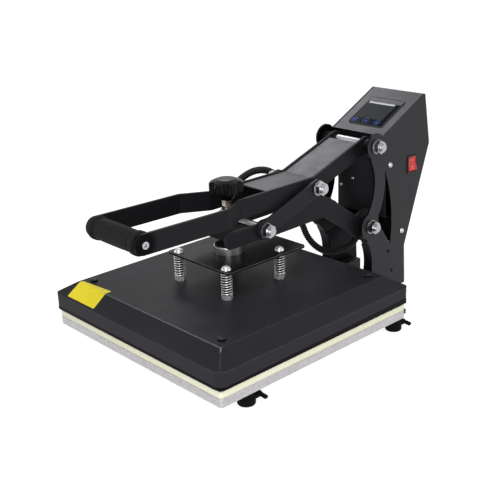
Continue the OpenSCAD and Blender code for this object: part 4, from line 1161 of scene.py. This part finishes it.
BOX_SCREWS = (("left", -45.2, 173.8), ("right", -18.9, 189.6))
BOX_FRONT_Y = 308.0
BOX_SCREW_HEAD = ((0.0, 2.0), (1.0, 1.9), (1.9, 1.5), (2.5, 0.9), (2.7, 0.3), (2.7, -0.2), (0.0, -0.2))


def add_box_screws():
    """Small round-headed screws on the control box's front panel."""
    for side, x, z in BOX_SCREWS:
        around = (spot(x, BOX_FRONT_Y, z), Vector(FORWARD), Vector((1, 0, 0)))
        mesh = spun(BOX_SCREW_HEAD, around, steps=24)
        piece("box_screw_" + side, mesh, SLOT_FINISHES["chrome"], "frame", smooth=40)


# Light, world and floor

WORLD_LEVEL = 0.48
FLOOR_HALF, FLOOR_GREY, FLOOR_LIFT = 12.0, 0.40, 0.83
LAMP_AIM = Vector((0, 0, 0.15))
# Softboxes: direction from the press, distance, size and power.
SOFTBOXES = {
    "overhead_softbox": ((0.27, -0.40, 0.87), 1.8, 1.0, 11.5),
    "edge_softbox": ((-0.66, 0.41, 0.63), 1.6, 0.45, 3.0),
    "front_softbox": ((0.66, -0.73, 0.18), 2.2, 1.1, 26.0),
    "side_softbox": ((0.90, 0.40, 0.18), 1.3, 0.6, 3.2),
    "left_fill": ((-0.84, -0.52, 0.15), 1.8, 0.7, 4.0),
}


def background_rays(tree):
    """One for rays that should see the plain white background, and nought for light on the press."""
    path = tree.nodes.new("ShaderNodeLightPath")
    total = path.outputs["Is Camera Ray"]
    for name in ("Is Glossy Ray", "Is Transmission Ray"):
        node = tree.nodes.new("ShaderNodeMath")
        node.operation = "MAXIMUM"
        tree.links.new(total, node.inputs[0])
        tree.links.new(path.outputs[name], node.inputs[1])
        total = node.outputs[0]
    return total


def add_world():
    """A plain white surround that lights the press softly."""
    world = bpy.data.worlds.new("studio")
    bpy.context.scene.world = world
    world.use_nodes = True
    tree = world.node_tree
    plain = tree.nodes["Background"]
    plain.inputs["Color"].default_value = (1.0, 1.0, 1.0, 1.0)
    level = tree.nodes.new("ShaderNodeMapRange")
    level.inputs["To Min"].default_value = WORLD_LEVEL
    level.inputs["To Max"].default_value = 1.0
    tree.links.new(background_rays(tree), level.inputs["Value"])
    tree.links.new(level.outputs["Result"], plain.inputs["Strength"])


def add_floor():
    """A plain pale floor that keeps the press's soft shadow."""
    mesh = bmesh.new()
    bmesh.ops.create_grid(mesh, x_segments=1, y_segments=1, size=FLOOR_HALF)
    material = bpy.data.materials.new("pale_floor")
    material.use_nodes = True
    tree = material.node_tree
    tree.nodes.remove(tree.nodes["Principled BSDF"])
    matte = tree.nodes.new("ShaderNodeBsdfDiffuse")
    matte.inputs["Color"].default_value = (*grey(FLOOR_GREY), 1.0)
    lift = tree.nodes.new("ShaderNodeEmission")
    level = tree.nodes.new("ShaderNodeMath")
    level.operation = "MULTIPLY"
    level.inputs[1].default_value = FLOOR_LIFT
    tree.links.new(background_rays(tree), level.inputs[0])
    tree.links.new(level.outputs[0], lift.inputs["Strength"])
    both = tree.nodes.new("ShaderNodeAddShader")
    tree.links.new(matte.outputs[0], both.inputs[0])
    tree.links.new(lift.outputs[0], both.inputs[1])
    tree.links.new(both.outputs[0], tree.nodes["Material Output"].inputs["Surface"])
    piece("floor", mesh, material)


def add_softbox(name, direction, distance, size, power):
    """A square softbox aimed at the press."""
    data = bpy.data.lights.new(name, "AREA")
    data.shape = "SQUARE"
    data.size = size
    data.energy = power
    lamp = bpy.data.objects.new(name, data)
    bpy.context.collection.objects.link(lamp)
    away = Vector(direction).normalized()
    lamp.location = LAMP_AIM + away * distance
    lamp.rotation_euler = away.to_track_quat("Z", "Y").to_euler()
    lamp.visible_camera = False


# The press in its studio

add_camera()
add_conduit()
add_springs()
dress_solids()
add_grip()
add_pad()
add_sticker()
add_display()
add_switch_marks()
add_cover_screws()
add_edge_strip()
add_collar_ring()
add_leg_folds()
add_foot_hooks()
add_box_screws()
add_world()
add_floor()
for name, setting in SOFTBOXES.items():
    add_softbox(name, *setting)
bpy.context.scene.view_settings.view_transform = "Standard"
